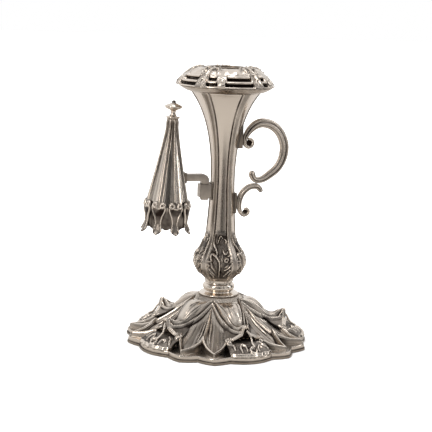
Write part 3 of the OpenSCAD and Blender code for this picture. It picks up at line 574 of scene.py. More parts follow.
z_hood = dome_z(r_hood) + 0.25 + 0.5 * (bud + flare + np.sqrt((bud - flare) ** 2 + 0.16)) + lines + rim + hatch
beside_bud = smooth((np.abs(w_hood) - bud_w) / 0.8) * smooth((r_hood - 22) / 4)
split = cut(np.abs(w_hood), r_hood, ridge_line(0), 0.34)
z_hood -= 0.15 * split
hood_shade = 0.1 + 0.75 * by_line * (1 - on_line) + 0.6 * beside_bud * (1 - on_line) + 0.9 * split + 0.55 * crease \
    + 0.5 * np.exp(-((r_hood - 27.5) / 1.3) ** 2) - 0.8 * smooth((s - 0.93) / 0.03)

z_mouth, z_floor = z_hood[-1:], leaf_z(36.4) - 1.3 * c ** 2
gape = smooth((z_mouth - z_floor) / 2.4)
cave = [(0.35, 0.05), (0.75, 0.0), (0.9, -0.06), (0.8, -0.14), (0.4, -0.2), (-0.4, -0.24), (-1.6, -0.3),
        (-2.8, -0.42), (-3.4, -0.6), (-3.0, -0.8), (-1.8, -0.94), (-0.4, -1.0)]
r_cave = np.concatenate([mouth_r + dr * mix(0.3, 1, gape) for dr, _ in cave])
z_cave = np.concatenate([z_mouth + (z_mouth - z_floor) * dz for _, dz in cave])
# The mouth is painted darker the deeper it goes in: painted shade inside the hollow.
cave_shade = np.clip(np.linspace(-0.3, 1.3, len(cave)), 0, 1)[:, None] * gape

v = np.linspace(0, 1, 66)[1:, None]
edge_a = c * np.degrees(blossom_w(50) / 50)
ruffle = 0.5 - 0.5 * np.cos(np.radians(360 * c * 2.6))
edge_r = outline_r(SECTOR / 2 - np.abs(edge_a)) + 0.3 - 0.6 * ruffle
r_leaf = mix(r_cave[-1:], edge_r, v)
w_leaf = c * blossom_w(r_leaf)
drawn, on_leaf, by_leaf = chase(w_leaf, r_leaf, LEAF_STROKES, 0.35)
hem = np.exp(-((v - 0.93) / 0.035) ** 2)
side_curl, on_curl, _ = chase(np.abs(w_leaf), r_leaf, CURLS)
ground = 0.1 * np.sin(6.0 * w_leaf + 2.2 * r_leaf) * np.sin(6.0 * w_leaf - 2.2 * r_leaf)
z_leaf = mix(z_cave[-1:], leaf_z(r_leaf) - 1.3 * c ** 2, smooth(v / 0.08)) \
    + (drawn + ground) * smooth(v / 0.1) * smooth((0.93 - v) / 0.08) + side_curl * smooth(v / 0.04) \
    - 0.25 * ruffle * smooth((v - 0.8) / 0.2) + 0.8 * hem
leaf_shade = (0.8 + 0.2 * by_leaf) * (1 - np.maximum(on_leaf, on_curl)) * (1 - smooth((v - 0.86) / 0.05))

# %% The grid that lies on the base, and five copies
upper = np.concatenate([polar(r, np.degrees(w / r), z) for r, w, z in (
    (r_hood, w_hood, z_hood), (r_cave, c * blossom_w(r_cave), z_cave), (r_leaf, w_leaf, z_leaf))])
r_low = mix(BACK_R, edge_r - 0.2, np.linspace(0, 1, len(upper))[:, None])
w_low = c * blossom_w(r_low)
crest_low = crest_r(SECTOR / 2 - np.abs(edge_a))
past = np.clip((r_low - crest_low) / (edge_r - crest_low), 0, 1)
z_low = np.where(past <= 0, dome_z(r_low), mix(dome_z(crest_low), BORDER_Z + 0.1, smooth(past * 1.4))) + 0.06
lower = polar(r_low, np.degrees(w_low / r_low), z_low)
# The casting's underside is painted dark: painted shade.
blossom_shade = np.concatenate([hood_shade, cave_shade, leaf_shade, np.full(z_low.shape, 0.8)])
for n in range(SECTORS):
    turn = PAIR_DIR + SECTOR / 2 + SECTOR * n
    blossom = make_piece("blossom_casting_%d" % (n + 1), *sheet_mesh(turned(upper, turn), turned(lower, turn)),
                         blossom_shade)
    hand_over(face_out(blossom), "stick", "silver", "blossom_%d" % (n + 1))

# %% [markdown]
# ## Repeating with Geometry Nodes
# What comes several times round an axis is modelled once, and Geometry Nodes
# puts the copies. A first tree thickens a bent line to a wire, as the pistil in
# each blossom is. The trees have named inputs, and the result becomes a mesh.

# %% Trees that repeat a shape round the Z axis
def bake_nodes(piece, tree, values):
    modifier = piece.modifiers.new(tree.name, "NODES")
    modifier.node_group = tree
    for item in tree.interface.items_tree:
        if item.in_out == "INPUT" and item.name in values:
            modifier[item.identifier] = values[item.name]
    graph = bpy.context.evaluated_depsgraph_get()
    mesh = bpy.data.meshes.new_from_object(piece.evaluated_get(graph))
    piece.modifiers.clear()
    old, piece.data = piece.data, mesh
    bpy.data.meshes.remove(old)
    mesh.name = piece.name
    return piece


def round_tree(name, wire):
    tree = bpy.data.node_groups.new(name, "GeometryNodeTree")
    inputs = [("Shape", "Geometry"), ("Count", "Int"), ("Start", "Float"), ("Finish", "Material")]
    for label, kind in inputs + ([("Radius", "Float")] if wire else []):
        tree.interface.new_socket(label, in_out="INPUT", socket_type="NodeSocket" + kind)
    tree.interface.new_socket("Shape", in_out="OUTPUT", socket_type="NodeSocketGeometry")
    given = add(tree, "NodeGroupInput").outputs
    shape = given["Shape"]
    if wire:
        line = add(tree, "GeometryNodeMeshToCurve", None, Mesh=shape)
        section = add(tree, "GeometryNodeCurvePrimitiveCircle", None, Resolution=12, Radius=given["Radius"])
        shape = add(tree, "GeometryNodeCurveToMesh", None, Curve=line.outputs[0],
                    Profile_Curve=section.outputs[0], Fill_Caps=True).outputs[0]
    spots = add(tree, "GeometryNodeMeshLine", None, Count=given["Count"], Offset=(0, 0, 0))
    share = add(tree, "ShaderNodeMath", {"operation": "DIVIDE"}, i0=2 * math.pi, i1=given["Count"])
    angle = add(tree, "ShaderNodeMath", {"operation": "MULTIPLY_ADD"},
                i0=add(tree, "GeometryNodeInputIndex").outputs[0], i1=share.outputs[0], i2=given["Start"])
    spin = add(tree, "ShaderNodeCombineXYZ", None, Z=angle.outputs[0])
    copies = add(tree, "GeometryNodeInstanceOnPoints", None,
                 Points=spots.outputs[0], Instance=shape, Rotation=spin.outputs[0])
    real = add(tree, "GeometryNodeRealizeInstances", None, Geometry=copies.outputs[0])
    dressed = add(tree, "GeometryNodeSetMaterial", None, Geometry=real.outputs[0], Material=given["Finish"])
    add(tree, "NodeGroupOutput", None, Shape=dressed.outputs[0])
    return tree


COPIES, WIRES = round_tree("repeat round the axis", False), round_tree("bent wires round the axis", True)

# %% The pistil in each blossom's mouth
pistil = spline([(37.0, 0.2, 14.4), (38.4, 1.2, 12.6), (39.5, 1.9, 10.4), (41.0, 1.7, 8.7), (43.6, 2.0, 7.3)], 6)
wires = make_piece("pistils", pistil, [])
wires.data.edges.add(len(pistil) - 1)
wires.data.edges.foreach_set("vertices", np.ravel([(i, i + 1) for i in range(len(pistil) - 1)]))
bake_nodes(wires, WIRES, {"Count": SECTORS, "Start": math.radians(PAIR_DIR + SECTOR / 2), "Finish": SILVER,
                          "Radius": 0.55 * MM})
hand_over(face_out(wires), "stick", "silver")

# %% [markdown]
# ## Turned pieces
# The collar, the cup, the plate under the pan and the snuffer's finial were all
# turned on a lathe. One function spins a profile round the axis. Where the
# profile touches the axis it ends in a single point, so no pinhole is left.

# %% Spin a profile
def lathe(profile, sides=128):
    profile = np.asarray(profile, float)
    inner = profile[profile[:, 0] > 1e-6]
    grid = polar(inner[:, :1], np.linspace(0, 360, sides, endpoint=False)[None, :], inner[:, 1:])
    if len(inner) == len(profile):
        return ring_mesh(grid)
    n, last = len(inner) * sides, (len(inner) - 1) * sides
    points = np.concatenate([grid.reshape(-1, 3), [[0, 0, profile[0, 1]], [0, 0, profile[-1, 1]]]])
    faces = grid_faces(len(inner), sides, False, True).tolist()
    for j in range(sides):
        faces += [(n, (j + 1) % sides, j), (n + 1, last + j, last + (j + 1) % sides)]
    return points, faces


def arc(x, z, radius, start, end, steps=8, tall=None):
    return [(x + radius * math.cos(math.radians(a)), z + (tall or radius) * math.sin(math.radians(a)))
            for a in np.linspace(start, end, steps)]


# %% The collar between base and stem
collar_profile = [(2.2, 24.1), (8.8, 24.1), (8.8, BASE_H)] + arc(10.2, 25.75, 0.5, -60, 110) \
    + [(9.2, 26.4), (8.2, 26.8), (7.3, 27.25)] + arc(7.1, 29.6, 1.55, -75, 75, 16, 2.0) \
    + [(7.2, 31.8), (7.5, COLLAR_TOP), (5.8, COLLAR_TOP), (5.8, COLLAR_TOP + 1.8), (2.2, COLLAR_TOP + 1.8)]
collar = make_piece("collar_knop", *lathe(collar_profile))
hand_over(face_out(collar), "stick", "silver", "base_collar")

# %% [markdown]
# ## The stem
# Two cast halves are soldered in the plane of the handle. Five rounded ribs
# part five broad hollow flutes, and on the bulb each flute is filled with an
# acanthus spray. Its lines are drawn in millimetres across the flute and up
# from the stem's foot, and the ground between them is left dark.

# %% Outline of the stem
NECK_R, BULB_R, BULB_Z, BULB_TOP, THROAT_R = 7.9, 14.6, 11.2, 27.6, 8.1
WAIST_R, WAIST_Z, MOUTH_R, FLUTE_RATE = 6.5, 55.6, 19.5, 0.09


def rib_r(h):
    low = NECK_R + (BULB_R - NECK_R) * np.cos(np.radians(90 * np.clip((BULB_Z - h) / (BULB_Z - 1.4), 0, 1))) ** 0.9
    mid = THROAT_R + (BULB_R - THROAT_R) \
        * np.cos(np.radians(90 * np.clip((h - BULB_Z) / (BULB_TOP - BULB_Z), 0, 1))) ** 2.3
    high = WAIST_R + (THROAT_R - WAIST_R) * np.clip((WAIST_Z - h) / (WAIST_Z - BULB_TOP), 0, 1) ** 1.5
    up = np.clip((h - WAIST_Z) / (STEM_H - WAIST_Z), 0, 1)
    flare = WAIST_R + (MOUTH_R - WAIST_R) * (0.76 * up ** 2.2 + 0.24 * up ** 6)
    return np.where(h <= BULB_Z, low, np.where(h <= BULB_TOP, mid, np.where(h <= WAIST_Z, high, flare)))


# %% The acanthus spray
SPRAY_FOOT = 2.0
SPRAY = [
    ([(-0.1, 3), (-0.1, 5.6), (0.1, 9.2), (-0.5, 11.8), (-2.5, 14.2), (-4.3, 15.1), (-5.1, 13.8), (-4.7, 11.4),
      (-7.1, 11.2), (-7.7, 9.8)], 0.55, 1.1, 0.8, 0.6),
    ([(-3.0, 27.4), (-3.6, 22), (-3.4, 19.7), (-2.1, 17), (-1.6, 15.3), (-2.1, 14.2)], 0.5, 1.0, 0.8, 0.8),
    ([(-4.3, 27.4), (-5.0, 21.5), (-6.5, 18), (-7.6, 15.3), (-8.0, 12.0)], 0.5, 1.0, 0.8, 0.8),
    ([(-4.9, 10.4), (-4.1, 8.2), (-2.6, 6.2)], 0.6, 0.8),
    ([(-7.0, 9.6), (-5.8, 9.0), (-6.7, 7.7), (-5.4, 6.9)], 0.36, 0.6),
    ([(1.3, 15), (1.3, 8.6)], 0.36, 0.6),
    ([(1.5, 17.4), (2.0, 16.2), (3.0, 15.2), (4.4, 16.4)], 0.5, 0.9),
    ([(4.6, 17.6), (6.1, 17.2), (5.8, 15.2), (4.8, 14.2)], 0.5, 0.9),
    (ring_path(3.8, 12.2, 0.95), 0.5, 0.9, 1, 1),
    ([(6.0, 13.4), (6.8, 12.4), (6.2, 11.2)], 0.45, 0.8),
    ([(2.8, 8.2), (4.0, 8.9), (5.0, 9.5)], 0.4, 0.7),
    ([(2.6, 6.6), (4.2, 7.5), (5.9, 8.9), (7.4, 10.2)], 0.45, 0.8),
    ([(-1.4, 20.3), (-0.5, 23.2), (0.3, 24.1), (1.4, 22.9)], 0.42, 0.9),
    ([(2.6, 22.6), (3.2, 21.6), (2.8, 20.4)], 0.4, 0.7),
    ([(-6.3, 7.2), (-4.4, 5.4), (-2.4, 3.4)], 0.4, 0.6),
    ([(-5.2, 4.9), (-3.8, 3.2), (-2.9, 1.6)], 0.4, 0.6),
    ([(6.3, 7.0), (4.4, 5.2), (2.5, 3.0)], 0.4, 0.6),
    ([(7.4, 6.0), (5.8, 4.0), (4.8, 2.2)], 0.4, 0.6),
    ([(4.6, 26.4), (4.9, 22), (6.2, 18.6)], 0.42, 0.7),
]


def stem_surface(h, angle):
    """Radius, and tarnish with painted shade, of the stem at height h and an angle."""
    off = angle - SECTOR * np.round(angle / SECTOR)
    from_rib = np.abs(off)
    rib = rib_r(h)
    half = 0.75 + 0.09 * rib
    d = np.radians(from_rib) * rib
    flute = np.sin(np.radians(90 * np.clip((d - half) / (np.radians(SECTOR / 2) * rib - half), 0, 1))) ** 0.5
    above = smooth((h - BULB_TOP + 8) / 6)
    side_groove = np.exp(-((d - half - 0.1) / 0.34) ** 2) * mix(0.4, 1, above)
    bead = np.exp(-((d - half + 0.42) / 0.3) ** 2)
    between = smooth((half - 0.62 - d) / 0.3)
    across = np.radians(SECTOR / 2 - from_rib) * -np.sign(off) * rib
    drawn, on, near = chase(across, np.minimum(h, 60) - SPRAY_FOOT, SPRAY, 0.4)
    inside = smooth((d - half + 0.1) / 0.7) * smooth((BULB_TOP + 1 - h) / 2.5)
    field = inside * smooth((h - 1) / 3)
    grain = 0.12 * np.sin(4.4 * h) * np.sin(4.1 * across) * field
    r = rib * (1 - FLUTE_RATE * flute) - 0.25 * np.clip(d / half, 0, 1) ** 2 - 0.5 * side_groove \
        + 0.3 * bead - 0.12 * between + (drawn + grain + 0.3) * inside
    # The flat band between a rib's two beads is painted darker, painted shade between their bright lines; the side
    # grooves and the spray's ground are darkened, tarnish together with painted shade.
    shade = 0.04 + 0.95 * side_groove * (1 - inside) + 0.45 * between + field * (1 - on) * (0.8 + 0.2 * near)
    return r, shade


# %% Two halves of the stem
levels = np.concatenate([np.linspace(0, BULB_TOP, 120), np.linspace(BULB_TOP, STEM_H, 84)[1:]])[:, None]
HALF_SEAM_A = 0.12
for name, node, start in (("stem_casting_front", "stem_front", 180), ("stem_casting_back", "stem_back", 0)):
    angles = np.linspace(start + HALF_SEAM_A, start + 180 - HALF_SEAM_A, 221)[None, :]
    radius, shade = stem_surface(levels + 0 * angles, angles + 0 * levels)
    outer = polar(radius, angles, COLLAR_TOP + levels)
    inner_r = np.minimum(rib_r(levels) * (1 - FLUTE_RATE) - 0.6, rib_r(levels) - 1.2)
    inner = polar(inner_r, angles, COLLAR_TOP + levels)
    # The inner wall is painted dark: painted shade.
    half = make_piece(name, *sheet_mesh(outer, inner), np.concatenate([shade, np.full(shade.shape, 0.8)]))
    hand_over(face_out(half), "stick", "silver", node)

# %% [markdown]
# ## The pan
# The pan is stamped and chased. Between five leaf clusters, which narrow to the
# tips of the rim, lie smooth shells above two deep slots between bright
# mouldings. A small shield crosses the slots in each fifth. Three profiles are
# blended round the axis.

# %% Profiles of the pan, as radius and height above the stem's mouth
SHELL_PROFILE = [(10.22, 12.1), (11.8, 12.1), (13.2, 12.3), (15.6, 11.7), (18.0, 10.6), (19.6, 9.7), (20.3, 9.1),
                 (20.5, 9.0), (21.3, 9.1), (22.0, 8.8), (22.2, 8.3), (21.8, 7.9), (20.9, 7.8), (20.6, 7.2),
                 (20.9, 6.7), (22.4, 6.7), (23.6, 6.6), (24.3, 6.2), (24.5, 5.7), (24.1, 5.3), (23.0, 5.2),
                 (22.7, 4.5), (23.0, 3.9), (24.4, 4.0), (25.3, 3.9), (25.8, 3.6), (25.9, 3.2), (25.4, 2.95)]
SHIELD_PROFILE = [(10.22, 12.1), (11.8, 12.1), (13.2, 12.3), (15.6, 11.7), (18.0, 10.6), (20.4, 9.5), (22.2, 8.6),
                  (23.6, 7.4), (24.6, 6.2), (25.4, 5.0), (25.9, 4.0), (25.4, 2.95)]
CLUSTER_PROFILE = [(10.22, 12.1), (11.8, 12.1), (12.6, 12.9), (14.0, 13.1), (16.2, 12.4), (18.4, 11.4), (20.4, 10.2),
                   (22.2, 8.7), (23.4, 7.4), (24.8, 6.3), (26.0, 5.2), (26.9, 4.1), (27.0, 3.4), (26.6, 2.95)]
PAN_ROWS = 110


def resample(profile, count=PAN_ROWS):
    p = np.asarray(profile, float)
    run = np.concatenate([[0], np.cumsum(np.linalg.norm(np.diff(p, axis=0), axis=1))])
    at = np.linspace(0, run[-1], count)
    return np.stack([np.interp(at, run, p[:, 0]), np.interp(at, run, p[:, 1])], -1)[:, None]


CLUSTER_STROKES = [
    ([(0, 12.5), (0.4, 16), (-0.3, 20), (0.2, 26.5)], 0.6, 0.9),
    ([(-0.5, 16), (-2.4, 15), (-3.8, 16.4), (-3.2, 18.6), (-1.6, 18.4)], 0.5, 0.9),
    ([(0.7, 17), (2.8, 15.8), (4.2, 17.4), (3.4, 19.4), (1.8, 19)], 0.5, 0.9),
    ([(-0.4, 21), (-2.8, 20.6), (-4.4, 19.6), (-5.2, 17.6)], 0.5, 0.8),
    ([(0.6, 21.4), (3.2, 21), (4.8, 19.8), (5.4, 17.8)], 0.5, 0.8),
    ([(-0.2, 23.4), (-1.8, 23.8), (-2.4, 25.6)], 0.45, 0.7),
    ([(0.4, 23.4), (2.0, 23.8), (2.6, 25.6)], 0.45, 0.7),
    ([(-2.2, 13), (-3.8, 13.6), (-5.0, 13)], 0.45, 0.8),
    ([(2.2, 13), (4, 13.6), (5.2, 13)], 0.45, 0.8),
]

# %% The pan as one closed ring
SHELL_DIR, SHIELD_A = -28.0, -14.0
ta = np.linspace(-SECTOR / 2, SECTOR / 2, 132, endpoint=False)[None, :]
row = np.linspace(0, 1, PAN_ROWS)[:, None]
low_row = smooth((row - 0.3) / 0.2)
reach = mix(16.0, np.where(ta < 0, 4.0, 10.0), low_row)
cluster = smooth((reach - (SECTOR / 2 - np.abs(ta))) / 3 + 0.5)
shield = smooth((7.5 - np.abs(ta - SHIELD_A) - 2.5 * smooth((row - 0.6) / 0.4)) / 1.5) * smooth((row - 0.28) / 0.06)
rz = mix(resample(SHELL_PROFILE), resample(SHIELD_PROFILE), shield[..., None])
rz = mix(rz, resample(CLUSTER_PROFILE), cluster[..., None])
r_pan, z_pan = rz[..., 0], rz[..., 1]
from_cluster = np.radians(SECTOR / 2 - np.abs(ta)) * -np.sign(ta + 1e-9) * r_pan
curls, on_curl, _ = chase(from_cluster, r_pan, CLUSTER_STROKES, 0.35)
across = np.radians(ta) * r_pan
dome = np.sin(np.pi * np.clip((r_pan - 12.5) / 8, 0, 1)) * (1 - cluster)
lobes = np.exp(-((across - 2.6) / 2.0) ** 2) + np.exp(-((across + 2.6) / 2.0) ** 2) \
    + 0.7 * np.exp(-((np.abs(across) - 6.6) / 1.3) ** 2)
shield_x = across - np.radians(SHIELD_A) * 24
mound, on_mound, _ = chase(shield_x, z_pan, [(ring_path(0, 6.2, 1.5, 0, 360), 0.35, 0.4, 1, 1)])
lift = cluster * (curls - 0.2) + 0.7 * dome * lobes + 0.5 * shield * mound * (1 - cluster)
pan_top = polar(r_pan + 0.4 * lift, ta, STEM_TOP + z_pan + 0.9 * lift * smooth((r_pan - 11.6) / 1.2))
edge_r = r_pan[-1:]
pan_under = [polar(edge_r - 0.9, ta, STEM_TOP + 2.95), polar(edge_r - 3.6, ta, STEM_TOP + 4.6),
             polar(19.0, ta, STEM_TOP + 8.1), polar(13.0, ta, STEM_TOP + 10.9), polar(10.22, ta, STEM_TOP + 11.2)]
slot_profile = resample(SHELL_PROFILE)
hull = np.maximum.accumulate(slot_profile[..., 0])
slots = np.clip((hull - slot_profile[..., 0]) / 0.7, 0, 1) * (1 - shield) * (1 - cluster)
pocket = np.exp(-((np.abs(ta) - 17.5) / 2.4) ** 2) * np.exp(-((row - 0.24) / 0.06) ** 2)
# The colour is darkened in the slots, in two pockets, over the clusters' ground, between the shells' lobes and round
# the shield's ring: tarnish together with painted shade. The underside is painted darker as shade.
pan_shade = 0.02 + 1.2 * slots + cluster * (1 - on_curl) * mix(0.75, 0.45, low_row) + 0.6 * pocket \
    + 0.15 * dome * (1 - np.clip(lobes, 0, 1)) + 0.2 * shield * (1 - cluster) * (1 - on_mound) * low_row
pan_shade = np.tile(np.concatenate([pan_shade, np.full((len(pan_under), ta.shape[1]), 0.55)]), (1, SECTORS))
pan_grid = five_times(np.concatenate([pan_top] + pan_under), SHELL_DIR)
pan = make_piece("drip_pan", *ring_mesh(pan_grid), pan_shade)
hand_over(face_out(pan), "nozzle", "silver", "nozzle_pan")

# %% [markdown]
# ## Cup and plate of the nozzle
# The candle stands in a drawn cup whose lip is rolled outwards over the pan.
# Under the pan a dished plate hides the hollow and rests on the stem.

# %% Cup and plate
CUP_R, BORE_R = 10.1, 9.7
LIP_R, NOZZLE_TOP = cup_high[0], cup_high[2]
CUP_FLOOR = NOZZLE_TOP - 22.2
cup_profile = [(0, CUP_FLOOR), (BORE_R - 0.6, CUP_FLOOR)] + arc(BORE_R - 0.6, CUP_FLOOR + 0.6, 0.6, -80, 0, 5) \
    + [(BORE_R, NOZZLE_TOP - 6), (BORE_R, NOZZLE_TOP - 0.5), (BORE_R + 0.15, NOZZLE_TOP - 0.1)] \
    + [(BORE_R + 0.7, NOZZLE_TOP)] + arc(LIP_R - 0.4, NOZZLE_TOP - 0.4, 0.4, 90, -90, 9) \
    + [(CUP_R + 0.1, NOZZLE_TOP - 0.8), (CUP_R, NOZZLE_TOP - 1.2), (CUP_R, CUP_FLOOR), (CUP_R - 0.5, CUP_FLOOR - 0.5),
       (0, CUP_FLOOR - 0.5)]
cup = make_piece("candle_cup", *lathe(cup_profile, 144))
hand_over(face_out(cup), "nozzle", "silver_dark", "nozzle_cup")
plate_high = mm_box("nozzle_underplate")[1]
PLATE_R, PLATE_FLAT_R = plate_high[0], 19.8
steps = (0.25, 0.5, 0.75, 1)
plate_profile = [(CUP_R + 0.06, STEM_TOP), (PLATE_FLAT_R, STEM_TOP)] \
    + [(mix(PLATE_FLAT_R, PLATE_R, k), mix(STEM_TOP, plate_high[2] - 0.6, k ** 1.4)) for k in steps] \
    + arc(PLATE_R, plate_high[2] - 0.3, 0.28, -60, 90, 5) \
    + [(mix(PLATE_R, 19.5, k), mix(plate_high[2], STEM_TOP + 0.6, k ** 0.7)) for k in steps] \
    + [(CUP_R + 0.06, STEM_TOP + 0.6)]
plate = make_piece("pan_underplate", *lathe(plate_profile, 144))
hand_over(face_out(plate), "nozzle", "silver_worn", "nozzle_underplate")

# %% [markdown]
# ## The handle
# The handle is cast in two scrolls, an upper loop for the finger and a lower
# scroll, and both end in volutes. Each is a band whose section swells and
# narrows along a smooth curve, with creases chased along its faces.

# %% Carry a section along a curve in the handle's plane
HANDLE_X, HANDLE_Z = 10.2, 67.0


def sweep(knots, thick, steps=10, sides=40):
    path = spline(np.array(knots) + np.array([HANDLE_X, HANDLE_Z, 0]), steps)
    ahead = np.gradient(path[:, :2], axis=0)
    ahead /= np.linalg.norm(ahead, axis=1, keepdims=True)
    side = np.stack([-ahead[:, 1], ahead[:, 0]], -1)
    a = np.linspace(0, 2 * np.pi, sides, endpoint=False)
    creases = np.exp(-((np.cos(a) - 0.25) / 0.2) ** 2) + 0.8 * np.exp(-((np.cos(a) + 0.5) / 0.14) ** 2)
    loops, dark = [], []
    for i, (x, z, width) in enumerate(path):
        half_t = min(thick, 0.75 * width + 1.1) / 2
        deep = smooth((width - 1.6) / 1.4) * creases
        across = np.cos(a) * width / 2
        depth = np.sin(a) * half_t * (1 - 0.36 * deep)
        loops.append(np.stack([x + side[i, 0] * across, depth, z + side[i, 1] * across], -1))
        # The creases are darkened: tarnish together with painted shade in the grooves.
        dark.append(0.08 + 0.9 * deep)
    for end, sign in ((0, -1), (-1, 1)):
        first = loops[end]
        centre, way = first.mean(axis=0), np.array([ahead[end, 0], 0, ahead[end, 1]]) * sign
        reach_out = 0.34 * path[end, 2]
        tips = [centre + (first - centre) * math.cos(b) + way * reach_out * math.sin(b) for b in (0.4, 0.8, 1.2)]
        loops = tips[::-1] + loops if sign < 0 else loops + tips
        dark = [dark[end]] * 3 + dark if sign < 0 else dark + [dark[end]] * 3
    grid = np.array(loops)
    faces = grid_faces(len(grid), sides, False, True).tolist()
    faces += [list(range(sides - 1, -1, -1)), list(range(grid.shape[0] * sides - sides, grid.shape[0] * sides))]
    return grid.reshape(-1, 3), faces, np.ravel(dark)


LOOP_KNOTS = [(3.5, 42.5, 1.4), (5.1, 42.2, 1.8), (6.05, 40.6, 1.9), (5.2, 38.7, 1.9), (3.5, 38.15, 1.9),
              (1.8, 39.2, 2.0), (1.35, 41.4, 2.3), (2.0, 44.2, 3.2), (4.1, 47.5, 4.2), (7.4, 50.2, 5),
              (11.6, 51.2, 5.2), (17, 49.7, 5.2), (21.5, 45.5, 5.2), (24, 39.2, 5.2), (23.5, 32.6, 5.1),
              (20.8, 27.2, 4.9), (16.8, 23.6, 4.6), (12.6, 20.9, 4), (9.4, 20.3, 3.5), (7.6, 21.0, 3.3),
              (6.7, 22.3, 3.7), (6.3, 23.6, 3.8), (6.3, 24.4, 3.2)]
SCROLL_KNOTS = [(11.7, 14.4, 2.6), (10.8, 15.8, 3.0), (8.8, 16.9, 3.3), (5, 16.5, 3.6), (1.5, 13.7, 3.6),
                (-0.3, 9.6, 3.4), (-0.3, 5.4, 2.8), (0.7, 2.6, 2.3), (2.5, 1.2, 2.0), (4.4, 1.7, 1.8),
                (5.1, 3.4, 1.7), (4.1, 4.8, 1.5), (2.8, 4.5, 1.3)]
for name, node, knots, thick, shaded_eye in (("finger_loop", "handle_loop", LOOP_KNOTS, 4.2, (3.7, 40.4, 1.6)),
                                      ("lower_scroll", "handle_scroll", SCROLL_KNOTS, 3.6, (3.0, 3.2, 1.1))):
    points, faces, shade = sweep(knots, thick)
    # Each volute's eye is closed by a small disc painted fully dark: painted shade standing in for the open hole.
    disc, disc_faces = lathe([(0, -0.5), (shaded_eye[2], -0.5), (shaded_eye[2], 0.5), (0, 0.5)], 32)
    disc = disc[:, [0, 2, 1]] + np.array([HANDLE_X + shaded_eye[0], 0, HANDLE_Z + shaded_eye[1]])
    scroll = make_piece(name, np.concatenate([points, disc]),
                        [list(f) for f in faces] + [[v + len(points) for v in f] for f in disc_faces],
                        np.concatenate([shade, np.full(len(disc), 1.0)]))
    hand_over(face_out(scroll), "stick", "silver", node)

# %% [markdown]
# ## The snuffer's cone
# The cone was raised from sheet and folded into eight hollow panels between
# narrow ribs. Its skirt hangs in scallops between the strap leaves. The
# cone's own frame has its lip at height 0, and one turn and one shift place
# every snuffer piece in the whole.

# %% The snuffer's own frame
PANELS, PANEL_DIR = 8, 8.0
PANEL = 360 / PANELS
CONE_LEAN, CONE_X, LIP_Z = math.radians(2.2), -30.35, 74.5
CONE_R, CONE_H, CONE_TOP_R, SKIRT_H, THROAT_H = 11.9, 45.7, 3.0, 12.0, 41.5
lean = np.array([[math.cos(CONE_LEAN), 0, math.sin(CONE_LEAN)], [0, 1, 0],
                 [-math.sin(CONE_LEAN), 0, math.cos(CONE_LEAN)]])


def on_snuffer(points):
    return np.asarray(points).reshape(-1, 3) @ lean.T + np.array([CONE_X, 0, LIP_Z])


def cone_out_r(h):
    up = CONE_TOP_R + (CONE_R - CONE_TOP_R) * np.clip(1 - h / THROAT_H, 0, 1) ** 1.15
    return np.where(h >= 0, up, CONE_R - 1.3 * np.clip(-h / SKIRT_H, 0, 1) ** 0.6)


# %% The cone with its ribs
a = np.linspace(0, 360, 240, endpoint=False)[None, :]
u = np.abs(a - PANEL_DIR - PANEL * np.round((a - PANEL_DIR) / PANEL))
edge_h = -SKIRT_H + 2.2 * (1 - u / (PANEL / 2)) ** 1.5
s = np.linspace(0, 1, 110)[:, None]
h = mix(CONE_H, edge_h, s)
r = cone_out_r(h)
d = np.radians(u) * r
half = 0.4 + 0.045 * r
groove = np.exp(-((d - half - 0.25) / 0.3) ** 2)
sunk = 0.085 * r * smooth((u - 2) / 15)
keep = smooth((CONE_H - h) / 3 + 0.3)
ribbed = smooth((h - 0.5) / 3) * keep
outer = polar(r + (0.6 * np.sqrt(np.clip(1 - (d / half) ** 2, 0, 1)) - 0.4 * groove) * ribbed - sunk * keep, a, h)
lip = polar(np.linalg.norm(outer[-1:, :, :2], axis=2) - 0.8, a, edge_h)
inner_h = np.array([-6, 0, 12, 26, 38, CONE_H - 1.4])[:, None]
inner = polar(0.9 * cone_out_r(inner_h) - 0.8, a, inner_h)
hole = np.concatenate([polar(1.0, a, CONE_H - 1.4), polar(1.0, a, CONE_H)])
cone_grid = np.concatenate([outer, lip, inner, hole])
# Inside, the cone is painted dark as shade; outside, the colour is darkened in the rib grooves, over the skirt below
# the lip and a little towards the top.
cone_shade = np.full(cone_grid.shape[:2], 0.9)
cone_shade[:len(outer)] = 0.04 + 0.75 * groove * ribbed + 0.8 * smooth((1 - h) / 4) + 0.15 * smooth((h - 30) / 12)
cone = make_piece("snuffer_body", on_snuffer(cone_grid), ring_mesh(cone_grid)[1], cone_shade)
hand_over(face_out(cone), "snuffer", "silver", "snuffer_cone")

# %% [markdown]
# ## The strap leaves
# A strap is a little acanthus: two rolled volutes at the top with a dark heart
# between them, a waist with bright edges, and a hooked tip that stands away
# from the skirt. One is modelled and the tree puts eight.

# %% One strap, then eight
across = np.linspace(-1, 1, 45)[None, :]
h = np.linspace(3.4, -14.0, 96)[:, None]
half_w = curve(-h, [(-3.4, 1.2), (-3.0, 2.6), (-1.8, 3.9), (0, 4.2), (2, 3.9), (5, 2.5), (8, 1.75), (10, 2.0),
                    (11.6, 2.6), (12.8, 2.2), (13.5, 1.3), (14, 0.4)])
stand = cone_out_r(np.maximum(h, -8)) + 0.1 + 2.7 * np.clip((-h - 8) / 6, 0, 1) ** 1.6
x_mm = across * half_w
STRAP_STROKES = [
    (ring_path(2.15, 1.2, 1.1, 150, 480), 0.66, 0.8, 0.7, 1.0),
    ([(3.6, 0.8), (3.6, -0.6), (2.9, -2.6), (1.8, -5.2), (1.3, -8), (1.6, -10), (2.1, -12.4)], 0.42, 0.65, 1, 0.6),
    ([(0, -0.6), (0.7, -0.3), (1.3, 0.3)], 0.5, 0.7),
]
raised, on_strap, _ = chase(np.abs(x_mm), h, STRAP_STROKES, 0.2)
pearl = np.exp(-(x_mm ** 2 + (h + 13.0) ** 2) / 0.8)
